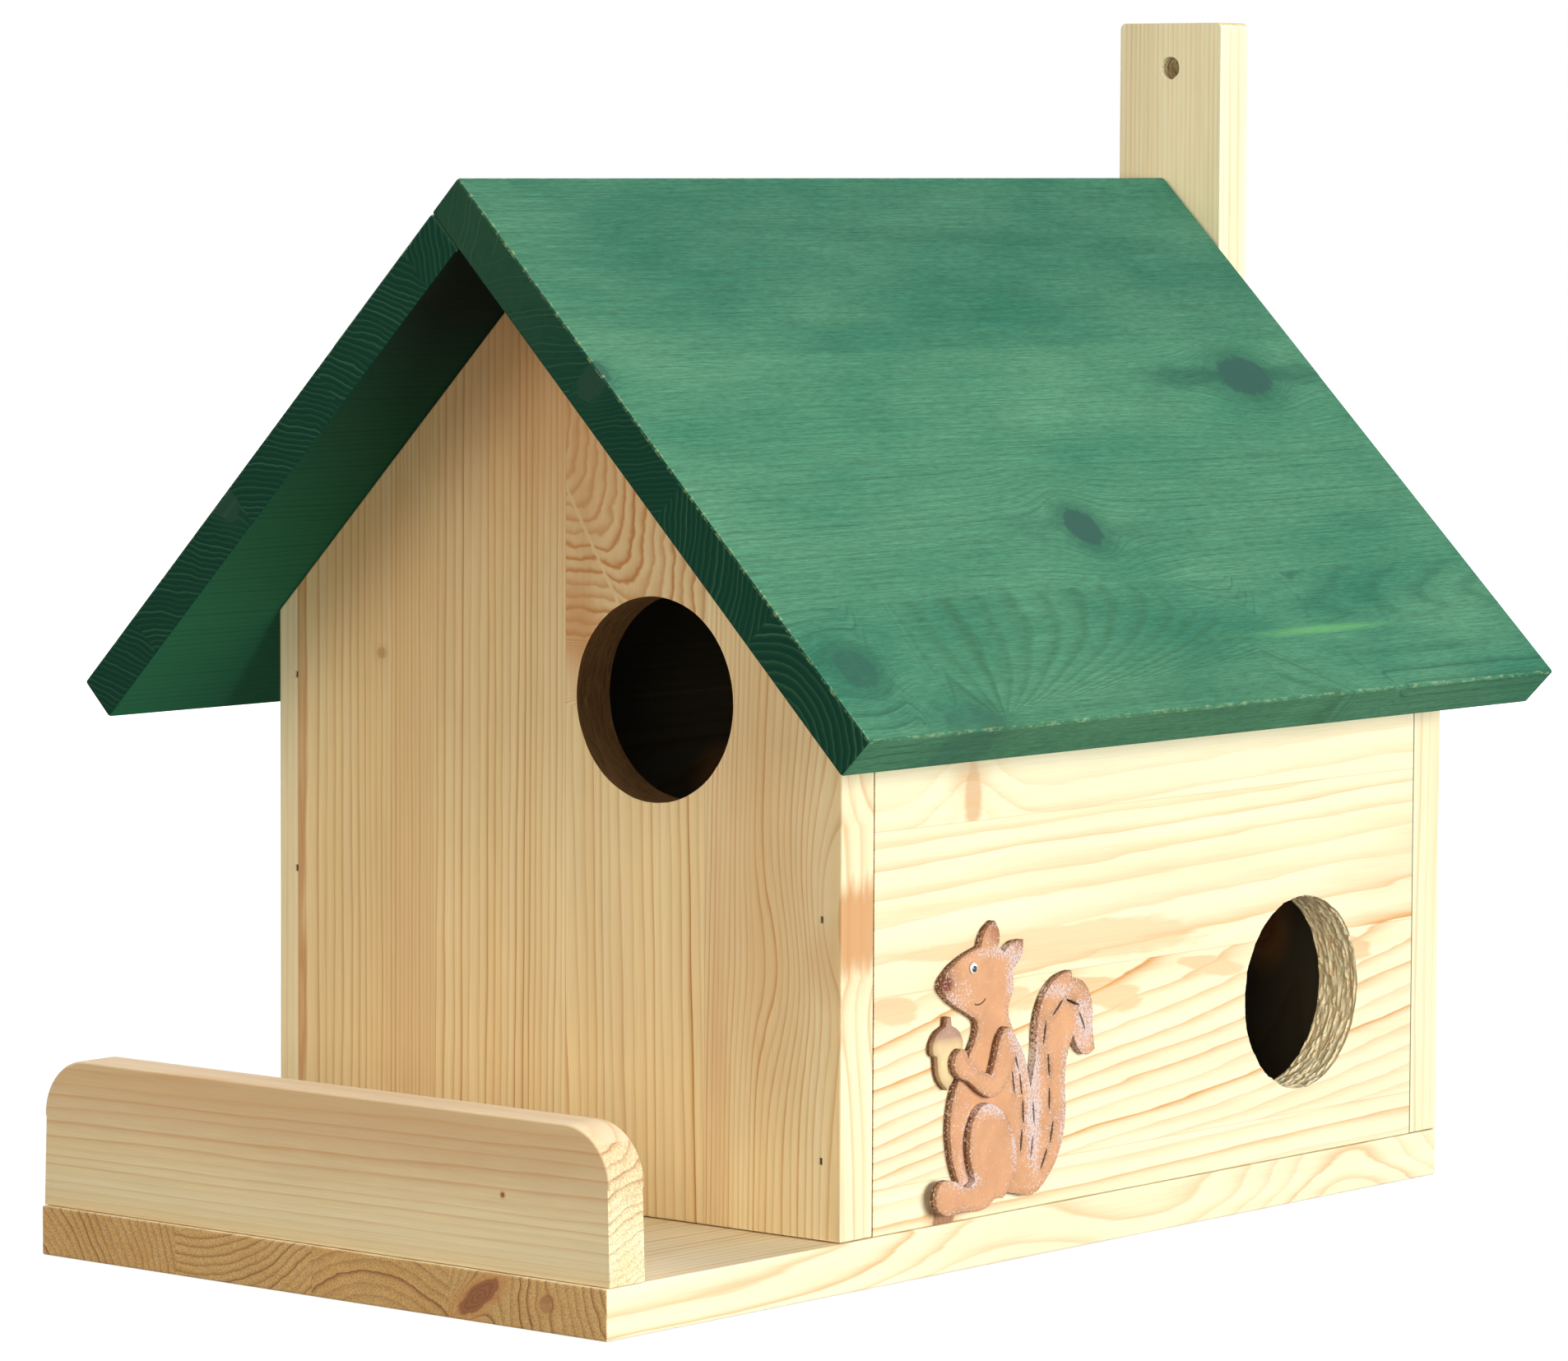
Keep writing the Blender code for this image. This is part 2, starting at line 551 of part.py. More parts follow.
def hinge(label, depth, boards, parts, cutters):
    """One butt hinge across the ridge joint; returns the pieces that turn with the lid."""
    upslope = -LEFT_DOWN
    centre = HINGE_AXIS + Vector((0, depth, 0))
    knuckle = HINGE_LENGTH / KNUCKLE_COUNT
    bore = arc((0, 0), PIN_RADIUS + GAP, 0, 360, KNUCKLE_SIDES)[:-1]
    cleared = KNUCKLE_RADIUS + GAP
    screw_sizes = (HINGE_SCREW_LENGTH, HINGE_SCREW_RADIUS, HINGE_SCREW_HEAD_RADIUS)
    turning = []
    for role, across, board, notches in (
        ("fixed", LEFT_DOWN, boards["left_roof_board"], (0,)),
        ("lid", upslope, boards["right_roof_board"], (-1, 1)),
    ):
        frame = frame_matrix(across, LEFT_OUT, centre)
        leaf = filled_outline(f"{label}_hinge_{role}_leaf", [leaf_outline(), bore], HINGE_LENGTH, frame, parts)
        paint(leaf, "zinc_plate")
        for step in notches:
            spare = OVERRUN if step else 0
            low = (-cleared - OVERRUN, -cleared - OVERRUN, step * knuckle - knuckle / 2 - GAP - spare * (step < 0))
            high = (cleared, cleared + OVERRUN, step * knuckle + knuckle / 2 + GAP + spare * (step > 0))
            notch = box(f"{leaf.name}_notch_{step + 1}", low, high, cutters)
            notch.matrix_world = frame @ notch.matrix_world
            cut(leaf, notch)
        middle = centre + across * (BOARD / 2) - LEFT_OUT * (KNUCKLE_RADIUS - LEAF_THICKNESS)
        pieces = [leaf]
        for number, step in enumerate((-1, 1), 1):
            place = middle + Vector((0, step * HINGE_SCREW_SPACING / 2, 0))
            pieces.append(screw(f"{label}_hinge_{role}_screw_{number}", place, LEFT_OUT, screw_sizes,
                                "zinc_plate", (leaf, board), parts, cutters))
        if role == "lid":
            turning = pieces
    end = HINGE_LENGTH / 2 + GAP
    profile = [
        (0, end + PIN_HEAD_HEIGHT), (PIN_HEAD_RADIUS, end + PIN_HEAD_HEIGHT), (PIN_HEAD_RADIUS, end),
        (PIN_RADIUS, end), (PIN_RADIUS, -end), (PIN_HEAD_RADIUS, -end),
        (PIN_HEAD_RADIUS, -end - PIN_HEAD_HEIGHT), (0, -end - PIN_HEAD_HEIGHT),
    ]
    pin = turned(f"{label}_hinge_pin", profile, KNUCKLE_SIDES, frame, parts)
    paint(pin, "zinc_plate")
    return turning


def scaled(shares):
    """Turn an outline's shares into lengths on the ornament."""
    return [(x * ORNAMENT_WIDTH, y * ORNAMENT_HEIGHT, kind) for x, y, kind in shares]


def ornament(parts, cutters):
    """The squirrel: a back plate on the wall, with a leg, an arm, an acorn and an eye."""
    corner = Vector((WALL_FACE, FRONT_FACE + ORNAMENT_DEPTH, FLOOR_TOP + ORNAMENT_RISE))
    layer = ORNAMENT_THICKNESS + GAP
    first = corner + Vector((GAP + ORNAMENT_THICKNESS / 2, 0, 0))
    second = first + Vector((layer, 0, 0))
    made = {}
    for name, shares, place in (
        ("squirrel_plate", PLATE_SHARES, first),
        ("squirrel_leg", LEG_SHARES, second),
        ("squirrel_arm", ARM_SHARES, second),
        ("squirrel_acorn", ACORN_SHARES, first),
    ):
        frame = Matrix.Translation(place) @ ON_RIGHT_WALL
        made[name] = filled_outline(name, [scaled(shares)], ORNAMENT_THICKNESS, frame, parts)
        paint(made[name], "brown_board")
    eye_place = corner + Vector((GAP + layer, EYE_SHARES[0] * ORNAMENT_WIDTH, EYE_SHARES[1] * ORNAMENT_HEIGHT))
    dome = [(EYE_RADIUS * math.sin(math.radians(turn)), EYE_HEIGHT * math.cos(math.radians(turn)))
            for turn in EYE_DOME_ANGLES]
    eye = turned("squirrel_eye", dome + [(0, 0)], EYE_SIDES,
                 Matrix.Translation(eye_place) @ outward(Vector((1, 0, 0))), parts)
    paint(eye, "eye_enamel")
    for number, (x, y, turn) in enumerate(FUR_SLIT_SHARES, 1):
        place = first + Vector((0, x * ORNAMENT_WIDTH, y * ORNAMENT_HEIGHT))
        slit = cylinder(f"fur_slit_{number}", FUR_SLIT_LENGTH / 2, ORNAMENT_THICKNESS + 2 * OVERRUN,
                        FUR_SLIT_SIDES, Matrix.Identity(4), cutters)
        slit.data.transform(Matrix.Scale(FUR_SLIT_WIDTH / FUR_SLIT_LENGTH, 4, Vector((0, 1, 0))))
        turned_slit = Matrix.Rotation(math.radians(turn), 4, "Z")
        slit.matrix_world = Matrix.Translation(place) @ ON_RIGHT_WALL @ turned_slit
        cut(made["squirrel_plate"], slit)


def main():
    clear_scene()
    parts = new_collection("squirrel_house")
    cutters = new_collection("cutters")
    boards = {}
    boards["floor_board"] = box("floor_board", (-WALL_FACE, FLOOR_FRONT, 0), (WALL_FACE, BACK_FACE, FLOOR_TOP), parts)
    paint(boards["floor_board"], "pine")
    boards["porch_rail"] = porch_rail(parts)
    boards["front_wall"] = gable_wall("front_wall", FRONT_FACE, parts)
    boards["back_wall"] = gable_wall("back_wall", BACK_FACE - BOARD, parts)
    boards["left_wall"] = side_wall("left_wall", -1, parts)
    boards["right_wall"] = side_wall("right_wall", 1, parts)
    entrance(boards["front_wall"], (FRONT_HOLE_OFFSET, FRONT_FACE + BOARD / 2, FLOOR_TOP + FRONT_HOLE_RISE),
             Vector((0, 1, 0)), cutters)
    entrance(boards["right_wall"], (SIDE_MIDDLE, BACK_FACE - SIDE_HOLE_INSET, FLOOR_TOP + SIDE_HOLE_RISE),
             Vector((1, 0, 0)), cutters)
    boards["left_roof_board"], boards["right_roof_board"] = roof_boards(parts)
    boards["hanging_batten"] = hanging_batten(parts, cutters)
    drive_brads(boards, parts, cutters)
    fix_batten(boards["hanging_batten"], boards["back_wall"], parts, cutters)
    ornament(parts, cutters)

    # Everything that turns with the lid hangs on an empty on the hinge axis
    turning = [boards["right_roof_board"]]
    turning += hinge("front", ROOF_FRONT + HINGE_INSET, boards, parts, cutters)
    turning += hinge("back", ROOF_BACK - HINGE_INSET, boards, parts, cutters)
    pivot = bpy.data.objects.new("lid_hinge_axis", None)
    pivot.location = HINGE_AXIS
    parts.objects.link(pivot)
    for piece in turning:
        piece.parent = pivot
        piece.matrix_parent_inverse = Matrix.Translation(-HINGE_AXIS)


main()
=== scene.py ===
"""Squirrel house of edge-glued pine with a green stained roof and a cut-out squirrel.

The boards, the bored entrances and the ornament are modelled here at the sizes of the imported
frame. Brads, screws and hinges stay as the frame has them and get their metal finishes.
Lengths are in metres, except that the grain of the wood is described in millimetres.
"""

import math
from contextlib import contextmanager
from types import SimpleNamespace

import bmesh
import bpy
import numpy as np
from bpy.props import FloatProperty, PointerProperty, StringProperty
from mathutils import Matrix, Vector, noise


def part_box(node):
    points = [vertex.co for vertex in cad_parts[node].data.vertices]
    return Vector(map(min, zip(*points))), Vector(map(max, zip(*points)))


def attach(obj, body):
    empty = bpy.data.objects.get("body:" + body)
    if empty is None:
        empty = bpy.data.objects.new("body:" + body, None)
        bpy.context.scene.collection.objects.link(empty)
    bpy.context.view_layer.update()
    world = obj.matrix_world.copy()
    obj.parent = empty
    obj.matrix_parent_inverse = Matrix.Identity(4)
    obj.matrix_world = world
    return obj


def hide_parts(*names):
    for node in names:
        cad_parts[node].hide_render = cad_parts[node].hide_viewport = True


bl_info = {
    "name": "Squirrel house",
    "version": (1, 0, 0),
    "blender": (4, 5, 0),
    "location": "3D View > Sidebar > Squirrel house",
    "description": "Models a squirrel house of glued pine boards and lights it",
    "category": "Object",
}

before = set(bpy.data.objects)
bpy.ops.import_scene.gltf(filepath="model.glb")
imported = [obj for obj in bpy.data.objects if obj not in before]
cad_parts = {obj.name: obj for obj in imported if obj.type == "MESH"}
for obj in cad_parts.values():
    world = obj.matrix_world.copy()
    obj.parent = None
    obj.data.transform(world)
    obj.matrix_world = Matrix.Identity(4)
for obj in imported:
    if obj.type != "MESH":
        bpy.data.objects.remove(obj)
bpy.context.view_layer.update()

MM = 0.001
HOUSE = "house"
LID = "lid"

# Faces of the house, read from the frame
FLOOR_LOW, FLOOR_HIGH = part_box("floor_board")
FRONT_LOW, FRONT_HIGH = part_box("front_wall")
BACK_LOW, BACK_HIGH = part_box("back_wall")
SIDE_LOW, SIDE_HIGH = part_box("right_wall")
LEFT_LOW, LEFT_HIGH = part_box("left_wall")
RAIL_LOW, RAIL_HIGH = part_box("porch_rail")
BATTEN_LOW, BATTEN_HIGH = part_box("hanging_batten")
LID_LOW, LID_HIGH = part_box("right_roof_board")
ROOF_LOW, ROOF_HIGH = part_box("left_roof_board")
BOARD = FLOOR_HIGH.z - FLOOR_LOW.z
ROOF_PITCH = math.radians(45)
APEX = Vector((0, 0, LID_HIGH.z - BOARD / math.cos(ROOF_PITCH)))
ROOF_SLOPE = (APEX.z - LID_LOW.z) / math.sin(ROOF_PITCH)
FIT = 0.3 * MM                # clearance between boards
LEFT_OUT = Vector((-math.sin(ROOF_PITCH), 0, math.cos(ROOF_PITCH)))
LEFT_DOWN = Vector((-math.cos(ROOF_PITCH), 0, -math.sin(ROOF_PITCH)))
RIGHT_OUT = Vector((math.sin(ROOF_PITCH), 0, math.cos(ROOF_PITCH)))
RIGHT_DOWN = Vector((math.cos(ROOF_PITCH), 0, -math.sin(ROOF_PITCH)))
EAST = Vector((1, 0, 0))
NORTH = Vector((0, 1, 0))
UP = Vector((0, 0, 1))
SHARP = math.radians(25)      # an edge that turns by more is an arris of the board
FACING = 0.7                  # cosine above which a face counts as turned along an axis
EDGE_TONE = 0.25              # share of a strip's warmth that its narrow faces keep

# Entrances and hanging hole, as the boards are bored
ENTRANCE_RADIUS = 37 * MM
FRONT_ENTRANCE = Vector((49.5 * MM, (FRONT_LOW.y + FRONT_HIGH.y) / 2, FLOOR_HIGH.z + 187 * MM))
SIDE_ENTRANCE = Vector(((SIDE_LOW.x + SIDE_HIGH.x) / 2, BACK_HIGH.y - 92 * MM, FLOOR_HIGH.z + 63 * MM))
HANGING_HOLE = Vector(((BATTEN_LOW.x + BATTEN_HIGH.x) / 2, (BATTEN_LOW.y + BATTEN_HIGH.y) / 2,
                       BATTEN_HIGH.z - 18 * MM))
HANGING_RADIUS = 4.5 * MM

ARRIS_SEGMENTS = 2
ROOF_ARRIS = 1.1 * MM
RAIL_CORNER = 21 * MM         # radius of the rail's top corners
RAIL_TOP_EDGE = 3 * MM        # rounding of the rail's top edges
BATTEN_CORNER = 2.5 * MM      # rounding of the batten's top corners
BRAD_SLOT = Vector((1.25, 0.75, 1.0)) * MM    # half length, half width and depth of a brad's slot
INSIDE_SHADE = 0.09           # share of their brightness that the walls' inner faces keep against the outer ones: painted shade of the dark inside

# The ornament's place on the right wall
ORNAMENT_LOW, ORNAMENT_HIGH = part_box("squirrel_plate")
ORNAMENT_SIZE = ORNAMENT_HIGH - ORNAMENT_LOW

# Where a bloom or a second colour lies: centre and half size, as shares of the ornament's width
# and height, and how much of it there is
PLATE_BLOOM_SHARES = (
    (0.47, 0.80, 0.05, 0.08, 0.9), (0.36, 0.89, 0.10, 0.02, 0.9), (0.13, 0.76, 0.07, 0.04, 0.6),
    (0.52, 0.55, 0.05, 0.12, 0.9), (0.60, 0.32, 0.04, 0.20, 1.0), (0.17, 0.20, 0.04, 0.14, 0.7),
    (0.93, 0.58, 0.05, 0.08, 0.9), (0.76, 0.72, 0.08, 0.02, 0.9), (0.80, 0.30, 0.03, 0.20, 0.6),
)
LEG_BLOOM_SHARES = (
    (0.33, 0.345, 0.12, 0.03, 0.9), (0.46, 0.22, 0.04, 0.10, 0.9), (0.12, 0.10, 0.08, 0.02, 0.8),
)
ARM_BLOOM_SHARES = ((0.43, 0.58, 0.04, 0.04, 0.8),)
NOSE_AND_EAR_SHARES = (
    (0.03, 0.80, 0.035, 0.025, 0.95), (0.36, 0.965, 0.05, 0.04, 0.45), (0.53, 0.92, 0.05, 0.025, 0.45),
)
ACORN_CAP_SHARES = ((0.10, 0.66, 0.30, 0.05, 1.0),)

# The camera of the product picture, its angles in radians
CAMERA_PLACE = Vector((1.6010, -1.92245, 0.4001))
CAMERA_YAW = 0.6945
CAMERA_PITCH = 0.0792
CAMERA_ROLL = 0.0041
TARGET = Vector((0, 0, 0.2))
WHITE = "#FFFFFF"

# Kinds of shader node, each with what it usually has here; a stretched place draws noise out
PLUS = ("ShaderNodeMath", {"operation": "ADD"})
MINUS = ("ShaderNodeMath", {"operation": "SUBTRACT"})
TIMES = ("ShaderNodeMath", {"operation": "MULTIPLY"})
TIMES_PLUS = ("ShaderNodeMath", {"operation": "MULTIPLY_ADD"})
OVER = ("ShaderNodeMath", {"operation": "DIVIDE"})
POWER = ("ShaderNodeMath", {"operation": "POWER"})
ROOT = ("ShaderNodeMath", {"operation": "SQRT"})
EXPONENT = ("ShaderNodeMath", {"operation": "EXPONENT"})
SINE = ("ShaderNodeMath", {"operation": "SINE"})
ABSOLUTE = ("ShaderNodeMath", {"operation": "ABSOLUTE"})
ROUND_DOWN = ("ShaderNodeMath", {"operation": "FLOOR"})
FRACTION = ("ShaderNodeMath", {"operation": "FRACT"})
LARGER = ("ShaderNodeMath", {"operation": "MAXIMUM"})
SMALLER = ("ShaderNodeMath", {"operation": "MINIMUM"})
ABOVE = ("ShaderNodeMath", {"operation": "GREATER_THAN"})
BELOW = ("ShaderNodeMath", {"operation": "LESS_THAN"})
COMPARE = ("ShaderNodeMath", {"operation": "COMPARE"})
STRETCH = ("ShaderNodeVectorMath", {"operation": "MULTIPLY"})
MOVE = ("ShaderNodeVectorMath", {"operation": "SUBTRACT"})
SHARE = ("ShaderNodeVectorMath", {"operation": "DIVIDE"})
SCALE = ("ShaderNodeVectorMath", {"operation": "SCALE"})
LENGTH = ("ShaderNodeVectorMath", {"operation": "LENGTH"})
DOT = ("ShaderNodeVectorMath", {"operation": "DOT_PRODUCT"})
TURN = ("ShaderNodeVectorRotate", {"rotation_type": "Z_AXIS"})
SPLIT = ("ShaderNodeSeparateXYZ", {})
JOIN = ("ShaderNodeCombineXYZ", {})
RANGE = ("ShaderNodeMapRange", {})
SOFT_RANGE = ("ShaderNodeMapRange", {"interpolation_type": "SMOOTHSTEP"})
MIX = ("ShaderNodeMix", {"data_type": "RGBA"})
MIX_NUMBER = ("ShaderNodeMix", {"data_type": "FLOAT"})
MIX_SHADERS = ("ShaderNodeMixShader", {})
NOISE = ("ShaderNodeTexNoise", {"Scale": 1.0})
NOISE_4D = ("ShaderNodeTexNoise", {"noise_dimensions": "4D", "Scale": 1.0})
SPECKLE = ("ShaderNodeTexWhiteNoise", {"noise_dimensions": "1D"})
CELLS = ("ShaderNodeTexVoronoi", {})
READ = ("ShaderNodeAttribute", {})
BUMP = ("ShaderNodeBump", {})
GROUP = ("ShaderNodeGroup", {})
COORDINATES = ("ShaderNodeTexCoord", {})
GLOW = ("ShaderNodeEmission", {})
RAYS = ("ShaderNodeLightPath", {})

# Sockets of the node groups: those that hold a vector, and those that every knot, flame or patch has
VECTOR_SOCKETS = ("Place", "Centre", "Size", "Slant")
SPOT_INPUTS = ("Place", "Centre", "Size", "Turn", "Strip", "Spread")
WHOLE_DEPTH = 10000           # half size in millimetres of a spot that goes right through a board


class Strip:
    """One lamella of a glued board; all lengths in millimetres, in the board's own grain axes."""

    def __init__(self, low, heart, ring, lean=0.0, crowding=0.0, dark=0.6, tone=0.4, waver=3.0):
        self.low = low              # where the strip begins across the board
        self.heart = heart          # the tree's heart, across the board and below its face
        self.ring = ring            # width of a growth ring
        self.lean = lean            # how far the rings drift across, per millimetre along
        self.crowding = crowding    # how much the rings close up across the strip
        self.dark = dark            # strength of the latewood
        self.tone = tone            # from cream to tan
        self.waver = waver          # how far the rings wander


class Spot:
    """Something within a board: its place and half sizes in millimetres.

    Both go across and along the grain; a third value, where given, goes down from the face.
    """

    def __init__(self, place, size, turn=0, everywhere=False, **traits):
        self.place = place
        self.size = size
        self.turn = turn                # degrees
        self.everywhere = everywhere    # crosses the glue joints
        self.traits = traits


def knot(place, size, turn=0, push=0.8, colour=1.0, slant=(0, 0)):
    """A knot; push parts the rings around it, slant is its drift per millimetre of depth."""
    return Spot(place, size, turn, Push=push, Colour=colour, Slant=(*slant, 0))


def flame(place, size, rise, turn=0):
    """A swelling of the rings that closes them into loops; rise is in rings."""
    return Spot(place, size, turn, Rise=rise)


def patch(place, size, turn=0, point=0.0, soft=0.15, amount=0.8, everywhere=False):
    """A patch of colour; point narrows it towards one end, soft blurs its rim."""
    return Spot(place, size, turn, everywhere, Point=point, Soft=soft, Amount=amount)


class Board:
    """The grain of one board: strips, knots, flames, and patches of latewood and of resin or thin stain; on
    the front wall two patches are painted shade.
    """

    def __init__(self, name, strips, knots=(), flames=(), tongues=(), stains=()):
        self.name = name
        self.strips = strips
        self.knots = knots
        self.flames = flames
        self.tongues = tongues
        self.stains = stains

    def strip_at(self, across):
        return max([index for index, strip in enumerate(self.strips) if strip.low <= across], default=0)


FRONT = Board(
    "front",
    strips=(
        Strip(-137, (-210, 60), 2.6, dark=0.6, tone=0.10, waver=1.5),
        Strip(-127, (-330, 90), 2.8, crowding=0.0105, dark=1.0, tone=0.80, waver=1.6),
        Strip(-58, (-290, 110), 3.3, lean=0.006, crowding=0.003, dark=1.2, tone=0.68, waver=1.4),
        Strip(7.2, (-210, 90), 4.2, lean=-0.02, dark=1.0, tone=0.62, waver=3.0),
        Strip(73.5, (-80, 70), 2.8, lean=0.02, crowding=-0.006, dark=1.1, tone=0.46, waver=5.0),
    ),
    knots=(knot((142, 138), (5.5, 12), push=6.0, colour=0),
           knot((-84, 215), (2.6, 2.2), push=0.2, colour=0.32)),
    flames=(flame((116, 112), (22, 34), -3.0),),
    tongues=(patch((16, 262), (7, 30), soft=0.9, amount=0.25),),
    stains=(
        patch((14, 228), (11, 22), turn=-20, soft=0.8, amount=0.65),
        patch((24, 262), (26, 34), soft=0.9, amount=0.25),
        patch((-68, 150), (13, 400), soft=0.9, amount=0.22),
        # Painted shade: these two patches darken and warm the wall under the eaves, by the apex and along
        # the left slope
        patch((0, 335), (76, 66), soft=0.9, amount=0.62, everywhere=True),
        patch((-92, 262), (40, 60), turn=-45, soft=0.9, amount=0.30, everywhere=True),
        patch((100, 150), (26, 70), soft=0.9, amount=0.30),
        patch((128, 118), (10, 14), soft=0.9, amount=0.35),
        patch((138, 129), (3.0, 18), soft=0.3, amount=0.85),
        patch((79, 90), (6, 110), soft=0.9, amount=0.35),
    ),
)
SIDE = Board(
    "right",
    strips=(
        Strip(0, (-60, 55), 5.5, lean=0.02, dark=0.6, tone=0.1),
        Strip(34.8, (-90, 60), 6.8, lean=0.155, crowding=-0.003, dark=0.8, tone=0.10, waver=9.0),
        Strip(103, (250, 80), 8.6, lean=0.036, crowding=-0.008, dark=0.85, tone=0.10, waver=6.0),
        Strip(161.8, (196, 26), 7.5, lean=0.03, dark=0.45, tone=0.16, waver=6.0),
    ),
    knots=(knot((20, 58), (6, 6), push=0.9, colour=0.85),),
    flames=(flame((172, 73), (30, 22), 1.6),),
    tongues=(
        patch((114, 115), (6.3, 98), turn=-2, point=0.6, soft=0.16, amount=0.40),
        patch((125, 345), (13, 78), turn=6, point=0.8, soft=0.35, amount=0.16),
        patch((98, 26), (5, 17), turn=-6, point=0.5, soft=0.14, amount=0.42),
        patch((96, 98), (4, 13), turn=-10, point=0.5, soft=0.15, amount=0.40),
        patch((94, 146), (5, 30), turn=-12, point=0.6, soft=0.13, amount=0.50),
        patch((97, 218), (3.5, 22), turn=-10, point=0.4, soft=0.15, amount=0.40),
        patch((96, 308), (4.0, 16), turn=-10, point=0.4, soft=0.15, amount=0.50),
    ),
    stains=(
        patch((171, 74), (13, 5.0), soft=0.35, amount=0.60),
        patch((178, 72), (8, 9.0), soft=0.9, amount=0.35),
    ),
)
FLOOR = Board(
    "floor",
    strips=(
        Strip(-137, (-190, 55), 3.4, dark=0.85, tone=0.28),
        Strip(-68.5, (-60, -60), 3.2, dark=0.85, tone=0.05),
        Strip(-1, (30, 60), 4.2, dark=0.75, tone=0.34),
        Strip(64, (220, -30), 4.2, lean=0.03, dark=0.80, tone=0.0, waver=9.0),
    ),
    knots=(knot((87, -121, 9), (6, 30, 7.5), push=1.6, slant=(-1.0, 0)),
           knot((108, -124, 8), (3.4, 30, 3.4), push=0.5, colour=0.45)),
    flames=(flame((137, 310), (30, 60), 4.0), flame((137, 90), (24, 60), 2.0)),
)
BACK = Board(
    "back",
    strips=(
        Strip(-137, (-60, 70), 4.0, dark=0.6, tone=0.4),
        Strip(-96, (-60, 35), 4.2, lean=0.02, dark=0.7, tone=0.4, waver=6.0),
        Strip(-30, (-170, 60), 3.4, dark=0.6, tone=0.3),
        Strip(34, (70, 40), 4.8, lean=-0.03, dark=0.7, tone=0.5, waver=6.0),
        Strip(98, (-40, 90), 3.2, dark=0.6, tone=0.4),
    ),
    knots=(knot((64, 96), (8, 11), colour=0.9), knot((-72, 262), (6, 8), colour=0.7)),
    flames=(flame((64, 96), (16, 60), 2.5),),
)
LEFT = Board(
    "left",
    strips=(
        Strip(0, (20, 40), 4.4, lean=0.01, dark=0.7, tone=0.4, waver=6.0),
        Strip(58, (190, 80), 3.6, dark=0.6, tone=0.3),
        Strip(122, (150, 34), 5.0, lean=-0.02, dark=0.7, tone=0.45, waver=7.0),
        Strip(186, (320, 70), 3.4, dark=0.6, tone=0.35),
    ),
    knots=(knot((150, 240), (8, 12), colour=0.9), knot((88, 96), (6, 8), colour=0.8)),
    flames=(flame((150, 120), (14, 70), 2.5), flame((30, 260), (14, 80), 2.0)),
)
RAIL = Board(
    "rail",
    strips=(
        Strip(0, (-120, 60), 3.2, lean=0.012, crowding=-0.009, dark=0.55, tone=0.35, waver=1.5),
    ),
    knots=(knot((45, 87.7), (0.9, 0.9), push=0.1),),
    stains=(patch((65, 0), (17, 260), soft=0.9, amount=0.45),),
)
BATTEN = Board("batten", strips=(Strip(-40, (-120, 60), 2.1, dark=0.65, tone=0.14, waver=1.2),))
LID_BOARD = Board(
    "lid",
    strips=(
        Strip(-30, (-120, 70), 2.4, dark=0.75, tone=0.75, waver=2.0),
        Strip(13, (190, 120), 2.2, lean=0.01, dark=0.75, tone=0.8, waver=3.0),
        Strip(72, (240, 110), 2.0, dark=0.6, tone=0.25, waver=3.0),
        Strip(131, (60, 80), 2.4, lean=-0.01, dark=0.7, tone=0.3, waver=4.0),
        Strip(190, (222, 28), 3.2, lean=0.015, dark=0.75, tone=0.7, waver=8.0),
    ),
    knots=(
        knot((91, 319), (10, 17), turn=-4, push=1.8),
        knot((162, 150), (9, 9.5), push=1.8),
        knot((218, -30), (9, 10), push=1.2, colour=0.6),
        knot((246, 10), (9, 16), push=2.2, colour=0.35),
        knot((77, -50, 4), (6, 5, 9), colour=0.7),
    ),
    tongues=(
        patch((12, 170), (7, 225), turn=3, point=0.5, soft=0.9, amount=0.45, everywhere=True),
        patch((38, 330), (26, 120), soft=0.9, amount=0.30, everywhere=True),
        patch((0, 170), (60, 300), soft=0.9, amount=0.30, everywhere=True),
        patch((4, -20), (22, 60), soft=0.9, amount=0.20, everywhere=True),
        patch((90, 288), (4.5, 32), point=-0.8, soft=0.6, amount=0.6),
        patch((91, 346), (4.5, 26), point=0.8, soft=0.6, amount=0.6),
        patch((160, 128), (4, 20), point=-0.8, soft=0.7, amount=0.35),
        patch((165, 176), (4, 18), point=0.8, soft=0.7, amount=0.35),
    ),
    stains=(patch((219, 245), (1.8, 36), soft=0.6, amount=0.42),),
)
ROOF_BOARD = Board(
    "fixed",
    strips=(
        Strip(-30, (-90, 70), 2.6, dark=0.8, tone=0.4),
        Strip(20, (150, 60), 2.4, lean=0.01, dark=0.8, tone=0.4, waver=6.0),
        Strip(81, (190, 70), 2.3, dark=0.8, tone=0.3),
        Strip(143, (250, 62), 2.2, dark=0.8, tone=0.5, waver=5.0),
        Strip(214, (330, 70), 2.2, dark=0.6, tone=0.4, waver=6.0),
    ),
    knots=(knot((66, 120), (9, 12)), knot((190, 262), (7, 9)), knot((148, -50, 2), (6, 8, 9), colour=0.8)),
    flames=(flame((66, 240), (14, 80), 2.5),),
)


def linear(code):
    """An sRGB hex colour as linear light, with full alpha."""
    channels = [int(code[at:at + 2], 16) / 255 for at in (1, 3, 5)]
    return (*[((c + 0.055) / 1.055) ** 2.4 if c > 0.04045 else c / 12.92 for c in channels], 1)


def settings_of(name):
    """The values of a group of settings, its colours as linear light."""
    group = getattr(bpy.context.scene, "squirrelhouse_" + name)
    values = {key: getattr(group, key) for key in type(group).__annotations__}
    return SimpleNamespace(**{
        key: linear(value) if isinstance(value, str) else value for key, value in values.items()})


def only(piece):
    """Make one piece the active and the only selected one."""
    bpy.ops.object.select_all(action="DESELECT")
    piece.select_set(True)
    bpy.context.view_layer.objects.active = piece


